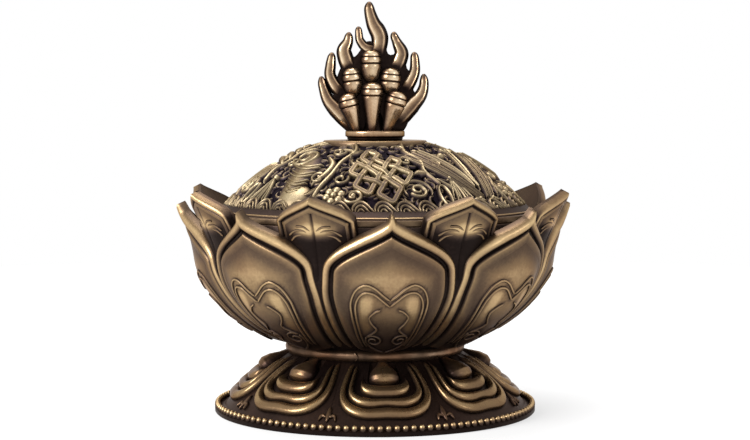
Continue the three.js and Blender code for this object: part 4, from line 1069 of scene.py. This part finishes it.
# The ground of the dome: a sheet in cells, left out where they fall in a hole, with its walls. The corners of
# the cells by a hole are moved onto the hole's circle.
def piercedGround(rows=72, columns=400):
    slope = np.linspace(lid["capSlope"] - 0.01, lid["footSlope"] - 0.03, rows)[:, None]
    turn = np.arange(columns) * 2 * np.pi / columns
    y = (signSlope - slope) * lid["radius"] + 0 * turn
    holes = []
    for row, (level, size, count) in enumerate(lid["holes"]):
        holes += [(2 * np.pi * (k + 0.5 * (row % 2)) / count, level, size) for k in range(count)]
    holes = np.array(holes)
    circle = lid["radius"] * np.sin(signSlope - holes[:, 1] / lid["radius"])
    turnGap = (turn[None, :, None] - holes[:, 0] + np.pi) % (2 * np.pi) - np.pi
    dx = turnGap * circle
    dy = y[..., None] - holes[:, 1]
    away = np.hypot(dx, dy) - holes[:, 2]
    nearest = away.argmin(-1)
    spot = nearest[..., None]
    pick = lambda values: np.take_along_axis(np.broadcast_to(values, away.shape), spot, -1)[..., 0]
    gap, dx, dy, size = pick(away), pick(dx), pick(dy), pick(holes[:, 2])
    corner = np.stack([gap, np.roll(gap, -1, 1)])
    kept = (corner[:, :-1] + corner[:, 1:]).sum(0) > 0
    around = np.stack([kept, np.roll(kept, 1, 1)]).astype(int)
    full = np.zeros((rows, columns), int)
    full[:-1] += around.sum(0)
    full[1:] += around.sum(0)
    limit = np.full(rows, 4)
    limit[[0, -1]] = 2
    border = (full > 0) & (full < limit[:, None])
    scale = np.where(border, gap / np.maximum(gap + size, 0.1), 0)
    angle = turn - dx * scale / (lid["radius"] * np.sin(slope))
    y = y - dy * scale
    x = angle * lid["radius"] * np.sin(signSlope - y / lid["radius"])
    return onDome(x, y, lid["groundTop"]), onDome(x, y, lid["groundLow"]), kept


# Faces of the ground: the kept cells on top and below, and a wall wherever a kept cell meets a left out one.
def groundSkin():
    top, low, kept = piercedGround()
    rows, columns = top.shape[:2]
    index = np.arange(rows * columns).reshape(rows, columns)
    nextIndex = np.roll(index, -1, 1)
    cells = np.stack([index[:-1], index[1:], nextIndex[1:], nextIndex[:-1]], -1)[kept]
    count = rows * columns
    edgeRows = np.zeros((rows, columns), bool)
    edgeRows[1:-1] = kept[1:] != kept[:-1]
    edgeRows[[0, -1]] = kept[[0, -1]]
    level = np.stack([index, nextIndex, nextIndex + count, index + count], -1)[edgeRows]
    edgeTurns = kept != np.roll(kept, 1, 1)
    upright = np.stack([index[:-1], index[1:], index[1:] + count, index[:-1] + count], -1)[edgeTurns]
    skin = Skin()
    skin.points = [top.reshape(-1, 3), low.reshape(-1, 3)]
    skin.relief = [np.full(2 * count, 0.02)]
    skin.faces = [cells, cells + count, level, upright]
    return skin


makePiece("lid_ground", groundSkin(), "lid", lidBrass, ["pierced_lid"])

# The cap, with a light edge, and the flange with its skirt and the band at the foot of the dome
ringSkin = Skin()
capProfile = softened([(0, 65.5), (12.8, 65.5), (13, 65.8), (13, 66.7), (12.7, 67.19), (0, 67.19)], 0.2)
capShade = np.interp(capProfile[:, 0], [0, 9, 11.8, 12.6, 13], [0.52, 0.52, 0.56, 0.85, 0.5])
ringSkin.turned(capProfile, capShade, 128)
# Painted light: the wires below are lighter on their tops and darker underneath.
turn = circle(12)
wire = np.stack([np.cos(turn), np.sin(turn)], -1)
ringSkin.turned((39.0, 49.95) + 0.42 * wire, 0.2 + 0.7 * ease(np.sin(turn)), 160, True)
for slope, thick in ((0.895, 0.42), (0.862, 0.3)):
    place = (lid["radius"] - 0.75) * np.array([np.sin(slope), np.cos(slope)]) + (0, lid["centre"])
    ringSkin.turned(place + thick * wire, 0.15 + 0.6 * ease(np.sin(turn) + 0.3), 160, True)
footOut = lid["radius"] * np.sin(lid["footSlope"] - 0.05)
footUp = lid["centre"] + lid["radius"] * np.cos(lid["footSlope"] - 0.05)
band = softened([
    (36.4, 45.4), (38, 45.4), (38, 48.35), (41, 48.35), (41, 49.8), (39.2, 49.85), (footOut, footUp),
    (footOut - 1.2, footUp - 1.2), (36.4, 45.4), (36.7, 45.4),
], 0.25)[:-1]
bandShade = np.interp(band[:, 0], [36, 38, 38.6, 40.6, 41], [0.08, 0.1, 0.2, 0.3, 0.5])
ringSkin.turned(band, bandShade, 160, closed=True)
makePiece("lid_rings", ringSkin, "lid", brass)
print("lid made")

# Finial

finial = {"base": 67.244, "turn": -4.6, "flameDepth": 1.5, "webMiddle": (0, 11), "webDepth": 1.15}


# The finial's own plane, x across and z up from its foot with a depth towards the back, put in its place.
def onFinial(x, depth, z):
    return turnedCopies(np.stack([x, depth, z + finial["base"]], -1), finial["turn"])[0]


finialSkin = Skin()
flameSection = mirrored(
    [(-1, 0.15), (-0.95, 0.45), (-0.78, 0.78), (-0.62, 0.98), (-0.52, 1.06), (-0.3, 0.97), (0, 0.94)],
)
# Painted highlights on the flame's two ridges, one lighter than the other.
flameShade = np.array([0.02, 0.04, 0.14, 0.62, 1, 0.78, 0.52, 0.42, 0.78, 0.34, 0.08, 0.02, 0.02])


# A tongue of flame: a section alike on its front and back, carried along a line and thinned to its tip.
def flame(points, widths):
    line = lineThrough(points, 48)
    half = spread(widths, 48) / 2
    half[-7:] *= np.sqrt(1 - np.linspace(0, 0.96, 7) ** 2)
    # The tone darkens to painted shade at the root, where the flame meets the web, and also towards the tip.
    root = ease(np.linspace(0, 4, 48))[:, None]
    tip = 0.6 + 0.4 * ease(np.linspace(6, 0, 48))[:, None]
    section = np.vstack([flameSection, flameSection[::-1] * (1, -1)])
    x, z, depth = drawn(line, half, 1, section, 0, False)
    thick = np.minimum(finial["flameDepth"], half * 1.15)[:, None] * (0.7 + 0.3 * root)
    shade = np.concatenate([flameShade, flameShade[::-1]])
    finialSkin.strip(onFinial(x, -depth * thick, z), shade * root * tip)


flames = [
    (
        [(0.6, 20.5), (1.2, 24.4), (0.9, 26.4), (-0.3, 28.6), (-1, 30.6), (-1.4, 32.4), (-1.4, 34.2)],
        [4.6, 3.9, 4.3, 4.2, 3.4, 2.8, 2.2],
    ),
    ([(0.4, 22.2), (-2.2, 22.9), (-3.7, 24.6), (-4, 26.4), (-4.1, 28.1)], [3.4, 2.8, 2.3, 2.0, 1.6]),
    ([(-6.2, 17.5), (-7.4, 20.6), (-7.6, 22.4), (-6.7, 24.4), (-6.4, 26.7)], [4.2, 4.1, 3.8, 2.7, 1.7]),
    ([(-8, 11.5), (-9.8, 13.4), (-11.1, 16), (-11, 18.5), (-10.6, 21.7)], [3.8, 3.4, 2.9, 2.6, 1.8]),
    (
        [(-5.4, 3.4), (-7.2, 5.2), (-9.3, 7.4), (-11.5, 9.9), (-12.8, 13), (-13.4, 15.8)],
        [4.0, 4.4, 4.4, 3.4, 2.5, 1.9],
    ),
    (
        [(5, 17.5), (6.2, 20), (6.5, 21.8), (5.6, 23.8), (4.8, 25.6), (4.7, 26.8)],
        [4, 3.9, 3.7, 3.0, 2.2, 1.8],
    ),
    ([(7.2, 12.2), (9.0, 15), (9.8, 17), (9.9, 19), (9.7, 21.8)], [3.8, 3.3, 2.8, 2.4, 1.9]),
    (
        [(5.0, 4.0), (7.1, 6.3), (9.2, 8.7), (11.2, 10.9), (12.1, 13.4), (12.1, 16.4)],
        [4.0, 4.4, 4.4, 3.4, 2.5, 1.9],
    ),
]
for points, widths in flames:
    flame(points, widths)

# The web behind the jewels: rings of its outline drawn in to its middle, thick there and thin at the edge.
webLine = [
    (6.4, 1.8), (8.8, 5.6), (10.8, 9), (11, 11.4), (9.7, 12), (9.4, 14.2), (9.2, 16.6), (8, 17.6),
    (7.4, 19.6), (5.4, 21.2), (3.4, 21.2), (2.4, 23.4), (0.2, 24.2), (-2, 24.4), (-3.4, 22.6), (-4.8, 20.8),
    (-6.4, 20.2), (-8, 18.6), (-9, 16.8), (-9.6, 14.8), (-9.9, 12.6), (-10.4, 11.2), (-11.4, 9.8),
    (-9.4, 5.9), (-6.4, 1.8), (0, 1.2),
]
webEdge = lineThrough(webLine, 120, True)
share = np.array([0, 0.02, 0.3, 0.6, 0.8, 0.92, 0.98, 1])[:, None, None]
web = finial["webMiddle"] + (webEdge - finial["webMiddle"]) * share
depth = finial["webDepth"] - np.array([0, 0, 0, 0, 0, 0.05, 0.2, 0.5])[:, None] + 0 * webEdge[:, 0]
webFront, webBack = (onFinial(web[..., 0], side * depth, web[..., 1]) for side in (-1, 1))
finialSkin.grid(np.concatenate([webFront, webBack[::-1]]), 0.06, wrapColumns=True)


# A jewel: a slim cone that swells, a groove, a ring, a groove and a round crown, turned about its own line.
def jewel(start, end, depth, radius, full):
    a, b = np.array([start[0], depth, start[1]]), np.array([end[0], depth, end[1]])
    length = np.linalg.norm(b - a)
    crown = np.array([
        (0.92, -3.52, 0.5), (0.86, -3.4, 0.0), (0.93, -3.26, 0.5), (0.99, -3.0, 0.95), (1.0, -2.4, 0.9),
        (0.95, -1.9, 0.85), (0.86, -1.76, 0.0), (0.9, -1.6, 0.5), (0.9, -1.34, 0.95), (0.82, -0.8, 0.95),
        (0.64, -0.34, 0.85), (0.36, -0.08, 0.7), (0, 0, 0.6),
    ])
    share = np.array([0, 0, 0.1, 0.25, 0.45, 0.7, 0.88, 1])
    slim = np.array([0, 0.36, 0.43, 0.5, 0.6, 0.76, 0.87, 0.93])
    plump = np.array([0, 0.34, 0.56, 0.74, 0.87, 0.96, 0.98, 0.95])
    tone = np.array([0.15, 0.25, 0.55, 0.7, 0.78, 0.82, 0.84, 0.8])
    cone = np.stack([slim + (plump - slim) * full, share, tone], -1)
    cone[:, 1] *= length - 3.6
    crown[:, 1] += length
    radiusShare, along, shade = np.vstack([cone, crown]).T
    turn = circle(28)[:, None]
    axis = (b - a) / length
    side = np.array([axis[2], 0, -axis[0]])
    front = np.array([0, 1.0, 0])
    wide, deep = np.cos(turn) * radiusShare * radius, np.sin(turn) * radiusShare * radius
    points = a + axis * along[:, None] + side * wide[..., None] + front * deep[..., None]
    # Painted light: a jewel is lighter on its front and back, with the streak turned a little to one side, and
    # darker on its sides by the web, as painted shade and patina.
    shade = shade * (0.06 + 0.94 * np.abs(np.sin(turn + 0.35 * np.sign(depth))) ** 1.3)
    finialSkin.grid(onFinial(*np.moveaxis(points, -1, 0)), shade, wrapRows=True)


lowJewels = [
    ((-0.8, 2.2), (-0.7, 14.3), 2.8), ((-4.6, 2.2), (-7.2, 11.5), 2.6), ((2.8, 2.2), (5.9, 12.1), 2.8),
]
highJewels = [
    ((-1.0, 14.2), (-1.1, 22.3), 2.7), ((-5.2, 10.8), (-6.1, 17.9), 2.6), ((3.4, 11.4), (4.0, 17.9), 2.7),
]
for jewels, depth, full in ((lowJewels, 3.1, 0), (highJewels, 1.4, 1)):
    for start, end, radius in jewels:
        jewel(start, end, -depth, radius, full)
        jewel(start, end, depth, radius, full)

# The collar and the hub that the jewels stand on
collar = softened([
    (0, 0), (6.7, 0), (6.9, 0.2), (6.9, 0.75), (7.4, 0.95), (7.4, 2.15), (7.1, 2.4), (0, 2.4),
], 0.22)
collarShade = np.interp(
    collar[:, 1], [0, 0.6, 0.8, 1.1, 1.6, 2.1, 2.4], [0.0, 0.08, 0.0, 0.5, 0.8, 0.72, 0.4],
)
finialSkin.turned(collar + (0, finial["base"]), collarShade, 96)
hub = softened([(0, 1), (3.4, 1), (3.2, 2.4), (1.6, 7.4), (0, 8.4)], 0.6)
finialSkin.turned(hub + (0, finial["base"]), 0.08, 48)
makePiece("finial_cast", finialSkin, "lid", copper, ["finial"], sharp=40)
print("finial made")

# Screws, washers, dish and pad

fasteners = {
    "slotWidth": 1.0, "slotDepth": 0.9,
    "screws": {
        "finial_screw": {"body": "lid", "head": 3.6, "headHeight": 2.2, "shank": 1.9, "turn": 0.6},
        "bowl_screw": {"body": "base", "head": 4.4, "headHeight": 2.6, "shank": 2.4, "turn": 0.3},
    },
    "washers": {
        "finial_washer": {"body": "lid", "hole": 2.2, "radius": 5.4},
        "bowl_washer": {"body": "base", "hole": 2.7, "radius": 9.4},
    },
}


# A pan head screw that points up: turned, with its head below, and a slot cut across by lifting the floor of
# the head where it is near the slot's line.
def screwSkin(screw, low, top):
    head, headHeight, shank, length = screw["head"], screw["headHeight"], screw["shank"], top - low
    profile = softened([
        (0, 0), (head * 0.62, 0), (
            head * 0.93, headHeight * 0.35,
        ), (head, headHeight - 0.15), (head, headHeight),
        (shank, headHeight), (shank, length - 0.6), (shank - 0.6, length), (0, length),
    ], 0.3)
    fill = np.linspace(0, profile[1, 0], 9)[:-1]
    profile = np.vstack([np.stack([fill, 0 * fill], -1), profile[1:]])
    angle = circle(96)[:, None]
    away = np.abs(np.sin(angle + screw["turn"])) * profile[:, 0]
    inSlot = (away < fasteners["slotWidth"] / 2) & (profile[:, 1] < headHeight * 0.8)
    z = low + profile[:, 1] + np.where(inSlot, np.maximum(fasteners["slotDepth"] - profile[:, 1], 0), 0)
    skin = Skin()
    skin.grid(np.stack([np.cos(angle) * profile[:, 0], np.sin(angle) * profile[:, 0], z], -1),
              np.where(inSlot, 0.1, 0.7), wrapRows=True)
    return skin


def washerSkin(washer, low, top):
    hole, radius = washer["hole"], washer["radius"]
    profile = [(hole, low), (radius, low), (radius, top), (hole, top), (hole, low), (hole + 0.1, low)]
    skin = Skin()
    skin.turned(softened(profile, 0.15)[:-1], 0.65, 96, closed=True)
    return skin


for kind, makeSkin in (("screws", screwSkin), ("washers", washerSkin)):
    for node, part in fasteners[kind].items():
        low, top = (corner[2] * 1000 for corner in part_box(node))
        makePiece(f"{node}_turned", makeSkin(part, low, top), part["body"], steel, [node], 35)

# The dish: a foot ring, a wall that flares, and a rolled edge
dishProfile = softened([
    (0, 25.95), (6.8, 25.95), (6.8, 24.75), (8, 24.75), (8, 25.9), (11.4, 26.3), (12.9, 27.9), (13, 28.25),
    (12.6, 28.35), (11.9, 28.1), (10.4, 27.2), (4, 27.15), (0, 27.15),
], 0.35)
dishSkin = Skin()
dishShade = np.interp(dishProfile[:, 0], [0, 3, 10, 12, 13], [0.2, 0.35, 0.6, 0.85, 0.95])
dishSkin.turned(dishProfile, dishShade, 96)
makePiece("cone_dish_turned", dishSkin, "dish", brass, ["cone_dish"])

# The fibre pad: a low round board with a soft edge, its face dented by long waves and small fibres
padSize = {"flat": 18.4, "edge": 2.0, "low": 20.7, "thickness": 3.88, "ripple": 0.05}
turn = circle(160)[:, None]
bulge = np.linspace(-np.pi / 2, np.pi / 2, 13)
face = np.linspace(0, padSize["flat"], 26)
ring = np.concatenate([face, padSize["flat"] + padSize["edge"] * np.cos(bulge) ** 0.8, face[::-1]])
level = np.concatenate([np.zeros(26), (1 + np.sin(bulge)) / 2, np.ones(26)])
ripple = padSize["ripple"] * (np.sin(ring * 1.9 + 3 * np.sin(turn * 5)) + np.sin(turn * 31 + ring))
ripple = ripple * (ring < 18) * (level > 0.5) * np.minimum(1, ring / 2)
z = padSize["low"] + padSize["thickness"] * level + ripple
padSkin = Skin()
padSkin.grid(np.stack([np.cos(turn) * ring, np.sin(turn) * ring, z], -1), 0.5, wrapRows=True)


# Fibre: two tangles of fine threads and a soft cloud, pale.
def fibreFelt():
    paint = Paint(bpy.data.materials.new("fibreFelt"))
    threads = paint.noise(2400, 6, (1, 0.2, 1)) * 0.5 + paint.noise(2400, 6, (0.2, 1, 1)) * 0.5
    cloud = paint.noise(90)
    stops = tones((120, 114, 104), (196, 190, 178), (232, 228, 218), shares=(0, 0.45, 1))
    tint = (threads * 0.7 + cloud * 0.5).clamped()
    colour = paint.value("ShaderNodeValToRGB", {"stops": stops}, {"Fac": tint}, "Color")
    normal = paint.value("ShaderNodeBump", {}, {"Height": threads, "Distance": 0.0002}, "Normal")
    sockets = {"Base Color": colour, "Roughness": 0.95, "Normal": normal}
    return paint.finish(paint.value("ShaderNodeBsdfPrincipled", {}, sockets, "BSDF"))


pad = makePiece("fibre_pad", padSkin, "base", fibreFelt(), ["fireproof_pad"])
print("loose pieces made")

# Studio

studio = {
    "distance": 0.45, "eyeHeight": 0.0772, "azimuth": -4.6, "pitch": 3.8, "lens": 86.8,
    "lamps": [((-0.62, -0.36, 0.36), 0.5, 7.4), ((0.5, -0.5, 0.35), 0.3, 0.5), ((-0.05, 0.2, 0.7), 0.5, 3.8)],
    "aim": 0.04, "world": 0.7, "floor": 0.42, "floorGlow": 0.6,
}


def makeCamera():
    camera = bpy.data.objects.new("camera", bpy.data.cameras.new("camera"))
    bpy.context.scene.collection.objects.link(camera)
    camera.data.lens = studio["lens"]
    camera.data.sensor_width = 36
    camera.data.clip_start, camera.data.clip_end = 0.01, 20
    turn, distance = np.radians(studio["azimuth"]), studio["distance"]
    camera.location = (np.sin(turn) * distance, -np.cos(turn) * distance, studio["eyeHeight"])
    camera.rotation_euler = (np.radians(90 - studio["pitch"]), 0, turn)
    bpy.context.scene.camera = camera


# A round lamp that looks at a point above the foot.
def makeLamp(number, place, size, power):
    lamp = bpy.data.objects.new(f"softbox{number}", bpy.data.lights.new(f"softbox{number}", "AREA"))
    bpy.context.scene.collection.objects.link(lamp)
    lamp.data.shape = "DISK"
    lamp.data.size, lamp.data.energy = size, power
    x, y, z = np.array(place) - (0, 0, studio["aim"])
    lamp.location = place
    lamp.rotation_euler = (np.arctan2(np.hypot(x, y), z), 0, np.arctan2(x, -y))


# 1 where the camera looks or a reflection or a clear piece is seen, 0 for the light that falls on things.
def seenRays(paint):
    seen = 0
    for name in ("Is Camera Ray", "Is Glossy Ray", "Is Transmission Ray"):
        ray = paint.value("ShaderNodeLightPath", {}, {}, name)
        seen = ray.sign("MAXIMUM", ray, seen)
    return seen


# White where the camera or a reflection looks, and a plain grey light for the rest.
def makeWorld():
    world = bpy.data.worlds.new("studio")
    bpy.context.scene.world = world
    paint = Paint(world)
    strength = seenRays(paint) * (1 - studio["world"]) + studio["world"]
    sockets = {"Color": (1, 1, 1, 1), "Strength": strength}
    paint.finish(paint.value("ShaderNodeBackground", {}, sockets, "Background"), "ShaderNodeOutputWorld")


# A white disc that keeps a faint shadow: white of its own, where it is seen, over a plain white surface.
def makeFloor():
    mesh = bpy.data.meshes.new("floor")
    rim = around(circle(64), studio["floor"], 0)
    mesh.from_pydata(rim.tolist(), [], [tuple(range(64))])
    floor = bpy.data.objects.new("floor", mesh)
    bpy.context.scene.collection.objects.link(floor)
    paint = Paint(bpy.data.materials.new("floorWhite"))
    plain = paint.value("ShaderNodeBsdfDiffuse", {}, {"Color": (0.92, 0.92, 0.92, 1)}, "BSDF")
    white = paint.value("ShaderNodeEmission", {}, {"Color": (1, 1, 1, 1), "Strength": 1.0}, "Emission")
    glow = seenRays(paint) * studio["floorGlow"]
    mixed = paint.value("ShaderNodeMixShader", {}, {0: glow, 1: plain, 2: white}, "Shader")
    mesh.materials.append(paint.finish(mixed))


makeCamera()
for number, (place, size, power) in enumerate(studio["lamps"]):
    makeLamp(number, place, size, power)
makeWorld()
makeFloor()
bpy.context.scene.view_settings.view_transform = "Standard"
print("studio made")
